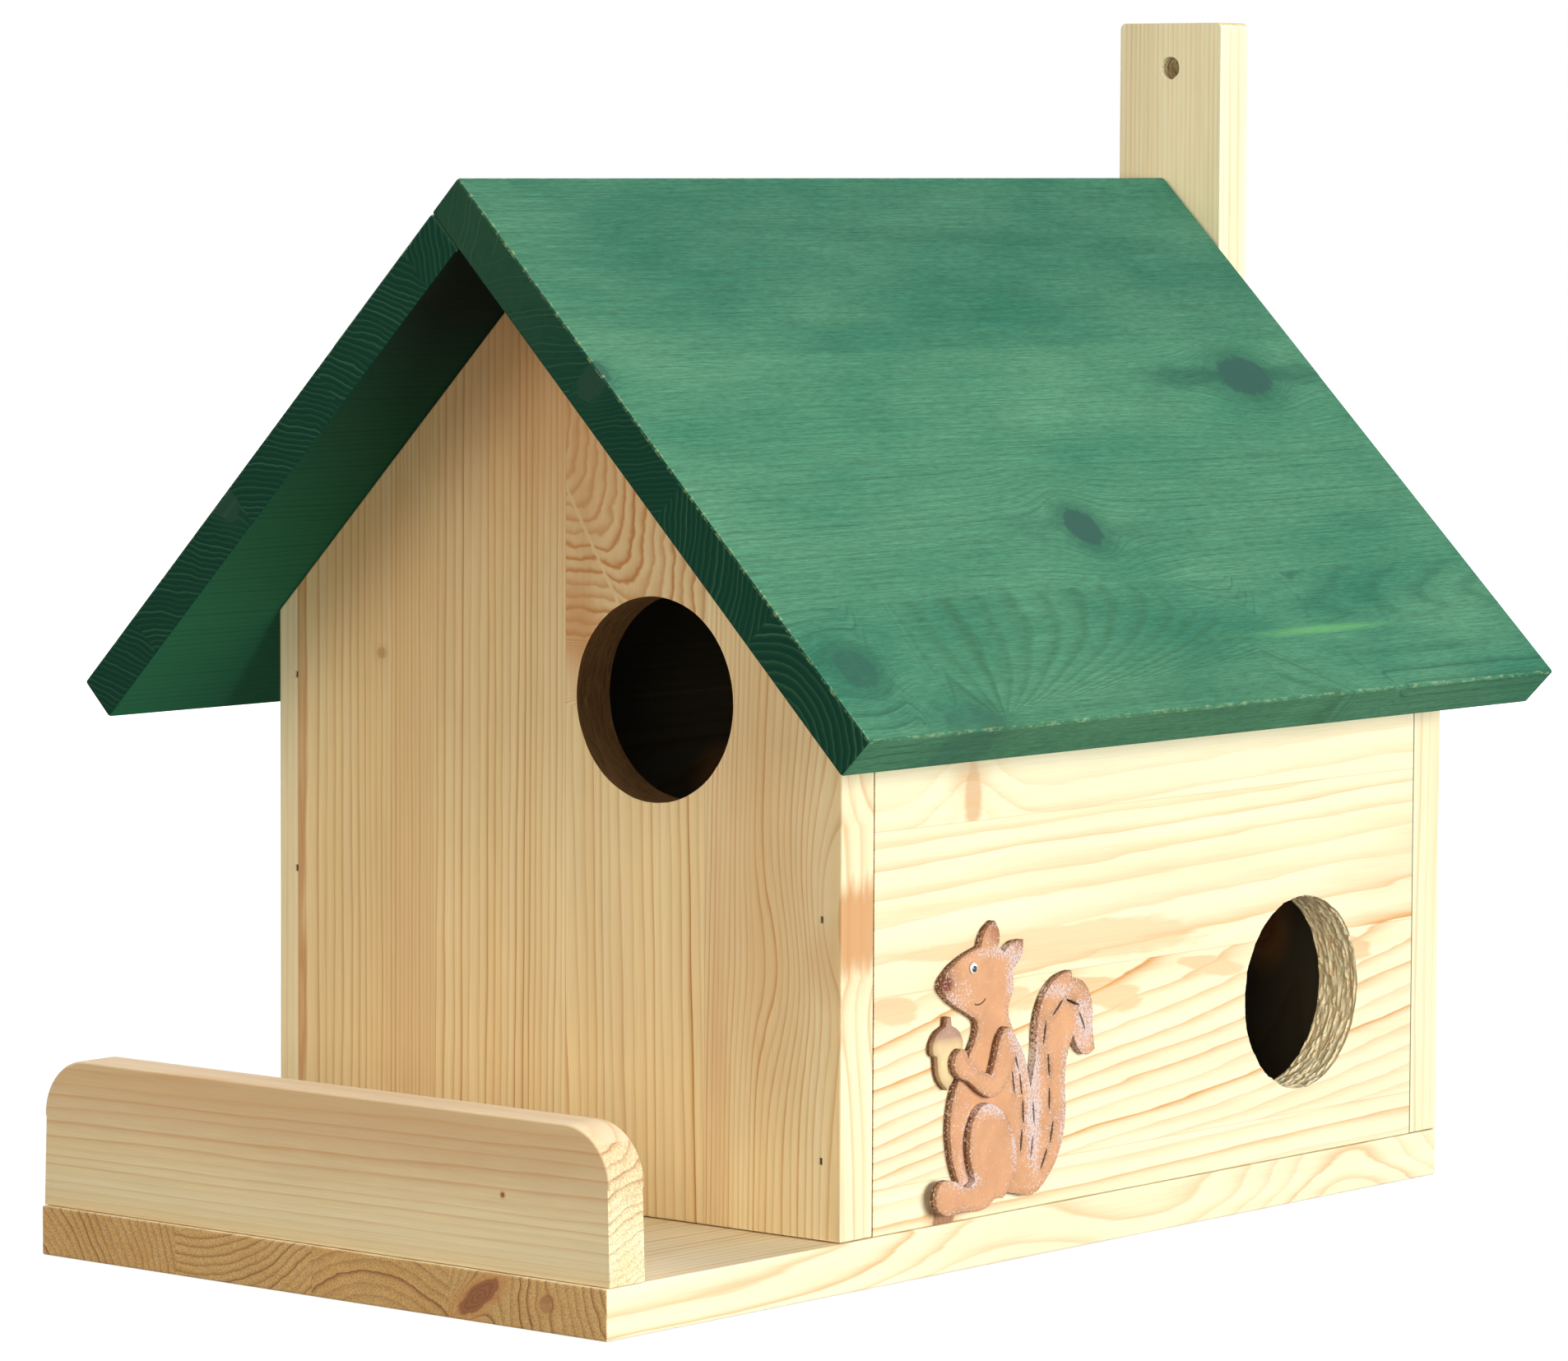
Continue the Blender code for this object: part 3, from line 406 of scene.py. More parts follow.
@contextmanager
def editing(piece, kind="FACE", chosen="DESELECT"):
    """Open a piece in edit mode with nothing selected, or with everything."""
    only(piece)
    bpy.ops.object.mode_set(mode="EDIT")
    bpy.ops.mesh.select_mode(type=kind)
    bpy.ops.mesh.select_all(action=chosen)
    yield bmesh.from_edit_mesh(piece.data)
    bpy.ops.object.mode_set(mode="OBJECT")


def settle(name):
    """Name the primitive that was just added, and keep its place in its mesh."""
    piece = bpy.context.object
    piece.name = piece.data.name = name
    bpy.ops.object.transform_apply(location=True, rotation=True, scale=True)
    return piece


def block(name, low, high):
    """A cube primitive stretched between two corners."""
    bpy.ops.mesh.primitive_cube_add(size=1, location=(low + high) / 2, scale=high - low)
    return settle(name)


def saw(piece, place, normal, through=True):
    """Cut a piece on a plane and close the cut; what the normal points to goes.

    When it isn't sawn through, only an edge loop is scored there.
    """
    with editing(piece, chosen="SELECT"):
        bpy.ops.mesh.bisect(plane_co=place, plane_no=normal, use_fill=through, clear_outer=through)


def runs_along(edge, axis):
    first, second = edge.verts
    return abs((second.co - first.co).normalized().dot(axis)) > 0.9


def lowest(edge):
    return min(vertex.co.z for vertex in edge.verts)


def is_long(edge):
    return edge.calc_length() > 5 * MM


def ease_edges(piece, width, segments=ARRIS_SEGMENTS, wanted=None):
    """Round the sharp edges, or those of them that a test picks."""
    with editing(piece, "EDGE") as mesh:
        for edge in mesh.edges:
            sharp = len(edge.link_faces) == 2 and edge.calc_face_angle() > SHARP
            edge.select_set(sharp and (wanted is None or wanted(edge)))
        bmesh.update_edit_mesh(piece.data)
        bpy.ops.mesh.bevel(offset=width, segments=segments, affect="EDGES", clamp_overlap=True)


def apply_modifier(piece, kind, **settings):
    only(piece)
    step = piece.modifiers.new(kind.title(), kind)
    for name, value in settings.items():
        setattr(step, name, value)
    bpy.ops.object.modifier_apply(modifier=step.name)


def carve(piece, cutter):
    """Take a cutter out of a piece and remove the cutter."""
    apply_modifier(piece, "BOOLEAN", operation="DIFFERENCE", solver="EXACT", object=cutter)
    bpy.data.objects.remove(cutter, do_unlink=True)


def drill(name, radius, length, place, axis, sides, rings):
    """A cylinder cutter whose wall has rings of faces, for a bore that is roughened later."""
    turn = axis.to_track_quat("Z", "Y").to_euler()
    bpy.ops.mesh.primitive_cylinder_add(
        vertices=sides, radius=radius, depth=length, location=place, rotation=turn)
    cutter = settle(name)
    with editing(cutter, "EDGE") as mesh:
        for edge in mesh.edges:
            edge.select_set(runs_along(edge, axis))
        bmesh.update_edit_mesh(cutter.data)
        bpy.ops.mesh.subdivide(number_cuts=rings)
    return cutter


def bore(piece, place, axis, radius, sides, rings, roughness, stretch, raggedness):
    """Bore a round hole and tear its wall: ridges that run round it, and a ragged rim.

    The wall gets sides and rings of faces; stretch says how long the ridges are.
    """
    carve(piece, drill(piece.name + "_drill", radius, BOARD + 4 * MM, place, axis, sides, rings))
    one = axis.orthogonal().normalized()
    two = axis.cross(one)
    for vertex in piece.data.vertices:
        spoke = vertex.co - place
        depth = spoke.dot(axis)
        spoke -= axis * depth
        if abs(spoke.length - radius) > 0.02 * MM or abs(depth) > BOARD / 2 + 0.1 * MM:
            continue
        round_trip = math.atan2(spoke.dot(two), spoke.dot(one)) * radius
        ridge = noise.noise(Vector((round_trip * 1.0 / stretch, depth * 6 / stretch, 7.3)))
        ridge += 0.6 * noise.noise(Vector((round_trip * 3.1 / stretch, depth * 14 / stretch, 1.9)))
        at_rim = abs(depth) > BOARD / 2 - 0.1 * MM
        vertex.co += spoke.normalized() * (ridge * (raggedness if at_rim else roughness))


def line_bore(piece, torn, place, axis, radius):
    """Give a hole's wall the torn finish."""
    piece.data.materials.append(torn)
    for polygon in piece.data.polygons:
        spoke = polygon.center - place
        spoke -= axis * spoke.dot(axis)
        if abs(spoke.length - radius) < 2 * MM and abs(polygon.normal.dot(axis)) < FACING:
            polygon.material_index = 1


def set_grain(piece, origin, across, along, into, strips):
    """Split a board at its glue joints and write what the wood finishes read about its grain."""
    for strip in strips[1:]:
        saw(piece, origin + across * (strip.low * MM), across, through=False)
    mesh = piece.data
    names = ("strip_heart", "strip_rings", "strip_sides", "strip_look")
    mesh.attributes.new("grain", "FLOAT_VECTOR", "POINT")
    for name in names:
        mesh.attributes.new(name, "FLOAT_VECTOR", "FACE")
    place = mesh.attributes["grain"]
    heart, rings, sides, look = [mesh.attributes[name] for name in names]
    for vertex in mesh.vertices:
        offset = (vertex.co - origin) / MM
        place.data[vertex.index].vector = (offset.dot(across), offset.dot(along), offset.dot(into))
    highest = max(vector.vector[0] for vector in place.data) + 1
    ends = [strip.low for strip in strips[1:]] + [highest]
    for polygon in mesh.polygons:
        at = (polygon.center - origin).dot(across) / MM
        number = next(index for index, end in enumerate(ends) if at < end)
        strip = strips[number]
        end_grain = 1.0 if abs(polygon.normal.dot(along)) > FACING else 0.0
        tone = strip.tone * (EDGE_TONE if abs(polygon.normal.dot(across)) > FACING else 1)
        heart.data[polygon.index].vector = (*strip.heart, number + 1)
        rings.data[polygon.index].vector = (strip.ring, strip.lean, strip.crowding)
        sides.data[polygon.index].vector = (strip.low, ends[number], strip.waver)
        look.data[polygon.index].vector = (strip.dark, tone, end_grain)


def mark_wear_and_shade(piece, down, out):
    """Mark with 1 the upper arrises, where stain wears off first, and with -1 the underside, where shade is
    painted.
    """
    wear_and_shade = piece.data.attributes.new("wear_and_shade", "FLOAT", "FACE")
    for polygon in piece.data.polygons:
        rounded = max(abs(polygon.normal.dot(axis)) for axis in (down, out, NORTH)) < 0.98
        under = polygon.normal.dot(out) < -0.9
        upper = rounded and polygon.normal.dot(out) > 0.1
        wear_and_shade.data[polygon.index].value = 1.0 if upper else -1.0 if under else 0.0


def smooth(piece, degrees=20):
    """Shade curved parts round while the large faces keep their own normals."""
    only(piece)
    bpy.ops.object.shade_smooth_by_angle(angle=math.radians(degrees), keep_sharp_edges=False)
    apply_modifier(piece, "WEIGHTED_NORMAL", keep_sharp=True)


def dress(piece, material, body, node):
    """Give a finished piece its material, hang it from its body, and hide the frame's part that it stands
    for.
    """
    piece.data.materials.clear()
    piece.data.materials.append(material)
    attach(piece, body)
    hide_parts(node)


def connect(tree, node, links):
    """Give a node's inputs values, sockets or other nodes, of which the first open output is taken."""
    for key, value in links.items():
        if isinstance(value, bpy.types.Node):
            value = next(output for output in value.outputs if output.enabled)
        if isinstance(value, bpy.types.NodeSocket):
            tree.links.new(value, node.inputs[key])
        else:
            node.inputs[key].default_value = value


def add(tree, kind, *values, **more):
    """Add a node with its settings and links.

    Values, sockets or nodes go to its open inputs in their order. A name in lower case is a
    setting, and a name with a capital is an input.
    """
    family, usual = kind
    node = tree.nodes.new(family)
    named = {**usual, **more}
    for name in filter(str.islower, named):
        setattr(node, name, named[name])
    places = [place for place, socket in enumerate(node.inputs) if socket.enabled]
    connect(tree, node, dict(zip(places, values)))
    connect(tree, node, {name: value for name, value in named.items() if not name.islower()})
    return node


def grain_place(tree):
    """Where a point lies in its board: across and along the grain and down from the face."""
    return add(tree, READ, attribute_name="grain").outputs["Vector"]


def new_group(name, inputs, outputs):
    """An empty node group with named sockets; returns its tree, its inputs and its end node."""
    tree = bpy.data.node_groups.new(name, "ShaderNodeTree")
    for side, labels in (("INPUT", inputs), ("OUTPUT", outputs)):
        for label in labels:
            kind = "NodeSocketVector" if label in VECTOR_SOCKETS else "NodeSocketFloat"
            tree.interface.new_socket(label, in_out=side, socket_type=kind)
    start = tree.nodes.new("NodeGroupInput")
    end = tree.nodes.new("NodeGroupOutput")
    return tree, start.outputs, end


def own_strip(tree, given):
    """One where the face belongs to the wanted strip, or everywhere when the spread is wide."""
    found = add(tree, READ, attribute_name="strip_heart").outputs["Vector"]
    number = add(tree, SPLIT, found).outputs["Z"]
    return add(tree, COMPARE, number, given["Strip"], given["Spread"])


def from_centre(tree, given, place):
    """Where a place lies from a spot's centre, in turned axes, as shares of its half sizes."""
    moved = add(tree, MOVE, place, given["Centre"])
    turned = add(tree, TURN, moved, Angle=given["Turn"])
    return add(tree, SHARE, turned, given["Size"])


def knot_group():
    """Parts the rings around a knot and says where the knot and its halo lie."""
    tree, given, end = new_group(
        "Knot", SPOT_INPUTS + ("Slant", "Push", "Colour", "Core", "Halo", "Rings"),
        ("Place", "Core", "Halo", "Rings"))
    at = add(tree, SPLIT, given["Place"]).outputs
    own = own_strip(tree, given)
    drift = add(tree, SCALE, given["Slant"], at["Z"])
    leaned = add(tree, MOVE, given["Place"], drift)
    far = add(tree, LENGTH, from_centre(tree, given, leaned))
    ragged = add(tree, PLUS, add(tree, NOISE, given["Place"], Scale=0.3, Detail=3.0), -0.5)
    edge = add(tree, TIMES_PLUS, ragged, 0.5, far)
    square = add(tree, LARGER, add(tree, TIMES, far, far), 0.05)
    parting = add(tree, TIMES, add(tree, OVER, given["Push"], square), own)
    keep = add(tree, LARGER, add(tree, MINUS, 1.0, parting), 0.0)
    middle = add(tree, SPLIT, given["Centre"]).outputs["X"]
    across = add(tree, TIMES_PLUS, add(tree, MINUS, at["X"], middle), keep, middle)
    shown = add(tree, TIMES, given["Colour"], own)
    core = add(tree, TIMES, add(tree, SOFT_RANGE, edge, 1.10, 0.86, 0.0, 1.0), shown)
    halo = add(tree, TIMES, add(tree, SOFT_RANGE, edge, 2.3, 0.9, 0.0, 1.0), shown)
    found = {"Core": core, "Halo": halo, "Rings": add(tree, TIMES, edge, core)}
    largest = {label: add(tree, LARGER, given[label], value) for label, value in found.items()}
    connect(tree, end, {"Place": add(tree, JOIN, across, at["Y"], at["Z"]), **largest})
    return tree


def flame_group():
    """Lifts the ring count around a place, so that the rings close into loops or flames there."""
    tree, given, end = new_group("Flame", SPOT_INPUTS + ("Shift", "Rise"), ("Shift",))
    scaled = from_centre(tree, given, given["Place"])
    fall = add(tree, TIMES, add(tree, DOT, scaled, scaled), -1.0)
    hill = add(tree, TIMES, add(tree, EXPONENT, fall), own_strip(tree, given))
    connect(tree, end, {"Shift": add(tree, TIMES_PLUS, hill, given["Rise"], given["Shift"])})
    return tree


def patch_group():
    """A patch with a ragged rim that may narrow towards one end."""
    tree, given, end = new_group("Patch", SPOT_INPUTS + ("Mask", "Point", "Soft", "Amount"), ("Mask",))
    at = add(tree, SPLIT, from_centre(tree, given, given["Place"])).outputs
    narrow = add(tree, PLUS, add(tree, TIMES, at["Y"], given["Point"]), 1.0)
    across = add(tree, OVER, at["X"], add(tree, LARGER, narrow, 0.08))
    far = add(tree, LENGTH, add(tree, JOIN, across, at["Y"]))
    drawn = add(tree, STRETCH, given["Place"], (0.30, 0.05, 0.30))
    ragged = add(tree, PLUS, add(tree, NOISE, drawn, Detail=3.0, Roughness=0.6), -0.5)
    edge = add(tree, TIMES_PLUS, ragged, 0.7, far)
    outer = add(tree, PLUS, 1.0, given["Soft"])
    inner = add(tree, MINUS, 1.0, given["Soft"])
    mask = add(tree, SOFT_RANGE, edge, outer, inner, 0.0, given["Amount"])
    mask = add(tree, TIMES, mask, own_strip(tree, given))
    connect(tree, end, {"Mask": add(tree, LARGER, mask, given["Mask"])})
    return tree


def rings_group():
    """Growth rings of a strip: how far the latewood shows, and what else the strip's look needs."""
    tree, given, end = new_group(
        "Growth rings", ("Place", "Shift", "Other count", "Other share"),
        ("Latewood", "Tone", "End grain", "Glue", "Fibre", "Cloud"))
    place, other = given["Place"], given["Other share"]
    heart, rings, sides, look = [
        add(tree, SPLIT, add(tree, READ, attribute_name="strip_" + name).outputs["Vector"]).outputs
        for name in ("heart", "rings", "sides", "look")]
    seed = add(tree, TIMES, heart["Z"], 3.7)
    at = add(tree, SPLIT, place).outputs

    # Slow wandering along the board, and lean years with narrower rings about every 22 mm
    slow = add(tree, STRETCH, place, (0.011, 0.0034, 0.011))
    wander = add(tree, PLUS, add(tree, NOISE_4D, slow, W=seed, Detail=1.5), -0.5)
    wander = add(tree, TIMES, add(tree, TIMES, wander, sides["Z"]), 2.0)
    long = add(tree, STRETCH, place, (0.045, 0.0012, 0.045))
    years = add(tree, PLUS, add(tree, NOISE_4D, long, W=seed, Detail=2.0), -0.5)
    wander = add(tree, TIMES_PLUS, years, 9.0, wander)
    drift = add(tree, TIMES_PLUS, at["Y"], rings["Y"], heart["X"])
    across = add(tree, PLUS, add(tree, MINUS, at["X"], drift), wander)
    below = add(tree, MINUS, at["Z"], heart["Y"])
    radius = add(tree, LENGTH, add(tree, JOIN, across, below))

    # Rings that close up towards one side of the strip
    middle = add(tree, TIMES_PLUS, add(tree, PLUS, sides["X"], sides["Y"]), -0.5, at["X"])
    radius = add(tree, TIMES_PLUS, add(tree, TIMES, middle, middle), rings["Z"], radius)
    count = add(tree, PLUS, add(tree, OVER, radius, rings["X"]), given["Shift"])
    count = add(tree, MIX_NUMBER, other, count, given["Other count"])

    # Small unevenness of each ring, about 5 mm across and 60 mm along
    small = add(tree, STRETCH, place, (0.2, 0.016, 0.2))
    uneven = add(tree, PLUS, add(tree, NOISE_4D, small, W=seed, Detail=2.0), -0.5)
    count = add(tree, TIMES_PLUS, uneven, add(tree, TIMES_PLUS, other, -0.4, 0.5), count)

    # Latewood thickens slowly through a year and stops at once; no two years are alike
    part = add(tree, FRACTION, count)
    chance = add(tree, SPECKLE, W=add(tree, PLUS, add(tree, ROUND_DOWN, count), seed))
    power = add(tree, TIMES_PLUS, chance, 2.5, add(tree, OVER, 4.5, rings["X"]))
    power = add(tree, TIMES, add(tree, PLUS, power, 1.4), add(tree, TIMES_PLUS, other, -0.4, 1.0))
    late = add(tree, POWER, part, power)
    drop = add(tree, TIMES, add(tree, MINUS, 1.0, part), rings["X"])
    drop = add(tree, TIMES, drop, add(tree, TIMES_PLUS, other, -1.5, 2.6))
    late = add(tree, TIMES, late, add(tree, SMALLER, drop, 1.0))
    strength = add(tree, TIMES_PLUS, add(tree, TIMES, chance, chance), 1.4, 0.4)
    late = add(tree, TIMES, late, add(tree, TIMES_PLUS, other, 0.65, strength))
    late = add(tree, TIMES, late, look["X"])

    # Where a figure takes over from the strip's own rings, neither shows
    meeting = add(tree, ABSOLUTE, add(tree, TIMES_PLUS, other, 2.0, -1.0))
    late = add(tree, TIMES, late, add(tree, TIMES, meeting, meeting))

    # A faint glue line at each joint
    true_across = add(tree, SPLIT, grain_place(tree)).outputs["X"]
    left = add(tree, MINUS, true_across, sides["X"])
    right = add(tree, MINUS, sides["Y"], true_across)
    glue = add(tree, RANGE, add(tree, SMALLER, left, right), 0.1, 0.35, 1.0, 0.0)

    # Soft clouds are about 60 mm wide. Real fibres are too fine to draw and would flicker, so they
    # are drawn coarser, about 0.5 mm wide.
    broad = add(tree, STRETCH, place, (0.03, 0.009, 0.03))
    thin = add(tree, STRETCH, place, (1.9, 0.03, 1.9))
    connect(tree, end, {
        "Latewood": late, "Tone": look["Y"], "End grain": look["Z"], "Glue": glue,
        "Fibre": add(tree, NOISE, thin, Detail=3.0, Roughness=0.6),
        "Cloud": add(tree, NOISE_4D, broad, W=seed, Detail=2.0),
    })
    return tree


GROUP_MAKERS = {"Knot": knot_group, "Flame": flame_group, "Patch": patch_group, "Growth rings": rings_group}


def group_tree(name):
    """A node group, which is made the first time that it's asked for."""
    return bpy.data.node_groups.get(name) or GROUP_MAKERS[name]()


def feather(tree, place):
    """The crotch figure above the front entrance: barbs that leave a slanting spine.

    Returns a ring count of its own, the share in which it takes over, a pale line and an olive share.
    """
    at = add(tree, SPLIT, place).outputs
    down = add(tree, MINUS, 277.5, at["Y"])
    spine = add(tree, TIMES_PLUS, down, 0.616, 8.5)
    off = add(tree, MINUS, at["X"], spine)
    right = add(tree, LARGER, off, 0.0)
    left = add(tree, SMALLER, off, 0.0)
    fade = add(tree, EXPONENT, add(tree, TIMES, right, -0.1))
    barb = add(tree, TIMES, add(tree, PLUS, down, 23.0), fade)
    barb = add(tree, TIMES, barb, 0.083)
    count = add(tree, TIMES_PLUS, add(tree, MINUS, at["X"], left), 0.217, barb)
    waves = add(tree, PLUS, add(tree, NOISE, place, Scale=0.12, Detail=2.0), -0.5)
    count = add(tree, TIMES_PLUS, waves, 1.0, count)
    high = add(tree, SOFT_RANGE, at["Y"], 200.0, 226.0, 0.0, 1.0)
    share = add(tree, TIMES, high, own_strip(tree, {"Strip": 4.0, "Spread": 0.5}))
    line = add(tree, RANGE, add(tree, ABSOLUTE, off), 0.3, 1.1, 1.0, 0.0)
    return count, share, add(tree, TIMES, line, share), 0.0


def fan(tree, place):
    """The lid's lowest strip: arcs that fan out from a knot at the eave, then nested flames."""
    at = add(tree, SPLIT, place).outputs
    climb = add(tree, RANGE, at["X"], 246.0, 190.0, 1.0, 0.0)
    climb = add(tree, MINUS, 1.03, add(tree, TIMES, climb, climb))
    arcs = add(tree, OVER, add(tree, PLUS, at["Y"], -28.0), climb)
    arcs = add(tree, TIMES, arcs, 0.055)
    arm = add(tree, PLUS, at["X"], -206.0)
    arm = add(tree, ROOT, add(tree, TIMES_PLUS, arm, arm, 5.0))
    vees = add(tree, TIMES_PLUS, arm, -2.5, at["Y"])
    vees = add(tree, TIMES_PLUS, vees, 0.03, -5.72)
    count = add(tree, MIX_NUMBER, add(tree, ABOVE, at["Y"], 198.0), arcs, vees)
    waves = add(tree, PLUS, add(tree, NOISE, place, Scale=0.05, Detail=2.0), -0.5)
    count = add(tree, TIMES_PLUS, waves, 0.5, count)
    near = add(tree, SOFT_RANGE, at["Y"], -18.0, 16.0, 0.0, 1.0)
    border = add(tree, TIMES_PLUS, at["X"], -1.4, at["Y"])
    olive = add(tree, TIMES, near, add(tree, SOFT_RANGE, border, -120.0, -75.0, 1.0, 0.0))
    begin = add(tree, SOFT_RANGE, at["Y"], 206.0, 250.0, 0.0, 1.0)
    low = add(tree, SOFT_RANGE, at["X"], 212.0, 232.0, 1.0, 0.0)
    flames = add(tree, TIMES, begin, low)
    own = own_strip(tree, {"Strip": 5.0, "Spread": 0.5})
    share = add(tree, TIMES, add(tree, LARGER, olive, flames), own)
    pale = add(tree, TIMES, add(tree, TIMES, flames, own), 0.12)
    return count, share, pale, add(tree, TIMES, olive, own)


def place_spot(tree, group, spot, board, links):
    """Add one knot, flame or patch of a board."""
    links = {
        "Centre": (*spot.place, 0)[:3], "Size": (*spot.size, WHOLE_DEPTH)[:3],
        "Turn": math.radians(spot.turn), "Strip": board.strip_at(spot.place[0]) + 1,
        "Spread": 99 if spot.everywhere else 0.5, **spot.traits, **links,
    }
    return add(tree, GROUP, **links, node_tree=group_tree(group))


def grain(tree, board, figure):
    """Lay out a board's grain.

    Returns what the rings say, what the last knot says, and the shares of latewood, stains and olive.
    """
    place = true_place = grain_place(tree)
    last = {}
    for spot in board.knots:
        links = {"Place": place, **{name: last[name] for name in ("Core", "Halo", "Rings") if last}}
        last = place_spot(tree, "Knot", spot, board, links).outputs
        place = last["Place"]
    shift = 0.0
    for spot in board.flames:
        shift = place_spot(tree, "Flame", spot, board, {"Place": place, "Shift": shift})
    masks = []
    for spots in (board.tongues, board.stains):
        mask = 0.0
        for spot in spots:
            mask = place_spot(tree, "Patch", spot, board, {"Place": true_place, "Mask": mask})
        masks.append(mask)
    links = {"Place": place, "Shift": shift}
    pale = olive = 0.0
    if figure:
        links["Other count"], links["Other share"], pale, olive = figure(tree, true_place)
    rings = add(tree, GROUP, **links, node_tree=group_tree("Growth rings")).outputs
    late = add(tree, LARGER, rings["Latewood"], masks[0])
    late = add(tree, MINUS, late, pale, use_clamp=True)
    return rings, last, late, masks[1], olive


def new_material(name):
    material = bpy.data.materials.new(name)
    material.use_nodes = True
    tree = material.node_tree
    return material, tree, tree.nodes["Principled BSDF"]


def planed_pine(board, end_colour, figure=None, inside=1.0):
    """Edge-glued pine, planed and sanded: pale earlywood, honey latewood, knots and faint glue lines.

    The face turned to the inside keeps only a share of its brightness: painted shade of the dark inside of
    the house.
    """
    material, tree, shader = new_material("planed_pine_" + board.name)
    wood = settings_of("wood")
    out, knot_at, latewood, stains, _ = grain(tree, board, figure)
    where = grain_place(tree)

    # Bands of paler and warmer years about 12 mm wide
    long = add(tree, STRETCH, where, (0.085, 0.0015, 0.085))
    band = add(tree, NOISE, long, Detail=3.0, Roughness=0.6)
    band = add(tree, RANGE, band, 0.3, 0.7, -0.32, 0.32)
    tone = add(tree, PLUS, out["Tone"], band, use_clamp=True)
    early = add(tree, MIX, tone, wood.cream, wood.tan)
    late = add(tree, MIX, tone, wood.honey, wood.rust)
    colour = add(tree, MIX, latewood, early, late)
    cloud = add(tree, RANGE, out["Cloud"], 0.3, 0.7, 0.94, 1.04)
    fibre = add(tree, RANGE, out["Fibre"], 0.3, 0.7, 0.94, 1.05)
    colour = add(tree, SCALE, colour, add(tree, TIMES, cloud, fibre))
    # Stain patches; on the front wall some of them are painted shade under the eaves
    if board.stains:
        colour = add(tree, MIX, stains, colour, wood.resin_and_shade)

    # End grain drinks more and shows open pores
    pore = add(tree, RANGE, add(tree, CELLS, where, Scale=1.4), 0.12, 0.6, 0.62, 1.1)
    sawn = add(tree, MIX, 1.0, colour, end_colour, blend_type="MULTIPLY")
    line = add(tree, TIMES, latewood, 0.85, use_clamp=True)
    sawn = add(tree, SCALE, add(tree, MIX, line, sawn, wood.knot_ring), pore)
    colour = add(tree, MIX, out["End grain"], colour, sawn)
    # Painted shade: the inner faces are darkened, as the inside of the house lies in shade
    if inside < 1:
        depth = add(tree, SPLIT, where).outputs["Z"]
        colour = add(tree, SCALE, colour, add(tree, RANGE, depth, 17.5, 17.9, 1.0, inside))
    colour = add(tree, MIX, add(tree, TIMES, out["Glue"], 0.22), colour, wood.rust)
    if board.knots:
        colour = add(tree, MIX, add(tree, TIMES, knot_at["Halo"], 0.5), colour, wood.resin_and_shade)
        wave = add(tree, SINE, add(tree, TIMES, knot_at["Rings"], 22.0))
        wave = add(tree, RANGE, wave, -1.0, 1.0, 0.0, 0.6)
        heart = add(tree, MIX, wave, wood.knot, wood.knot_ring)
        colour = add(tree, MIX, knot_at["Core"], colour, heart)
    height = add(tree, TIMES_PLUS, out["Fibre"], 0.6, latewood)
    connect(tree, shader, {
        "Base Color": colour,
        "Roughness": add(tree, RANGE, latewood, 0.0, 1.0, 0.56, 0.46),
        "Specular IOR Level": 0.5,
        "Normal": add(tree, BUMP, Height=height, Strength=0.35, Distance=0.12 * MM),
    })
    return material


def torn_pine(name, light, dark, rates, strength):
    """Pine torn by a hole saw: fibres lie in rough ridges that run round the hole."""
    material, tree, shader = new_material(name)
    place = add(tree, COORDINATES).outputs["Object"]
    drawn = add(tree, STRETCH, place, rates)
    ridges = add(tree, NOISE, drawn, Detail=4.0, Roughness=0.65, Distortion=0.5)
    # Loose fibres about 0.4 mm wide, coarser than real ones, which are too fine to draw
    fine = add(tree, STRETCH, place, (2500, 2500, 2500))
    fuzz = add(tree, NOISE, fine, Detail=2.0)
    tint = add(tree, TIMES_PLUS, fuzz, 0.35, ridges)
    depth = add(tree, RANGE, tint, 0.48, 0.70, 0.0, 1.0)
    connect(tree, shader, {
        "Base Color": add(tree, MIX, depth, dark, light),
        "Roughness": 0.85,
        "Specular IOR Level": 0.25,
        "Normal": add(tree, BUMP, Height=tint, Strength=strength, Distance=0.8 * MM),
    })
    return material


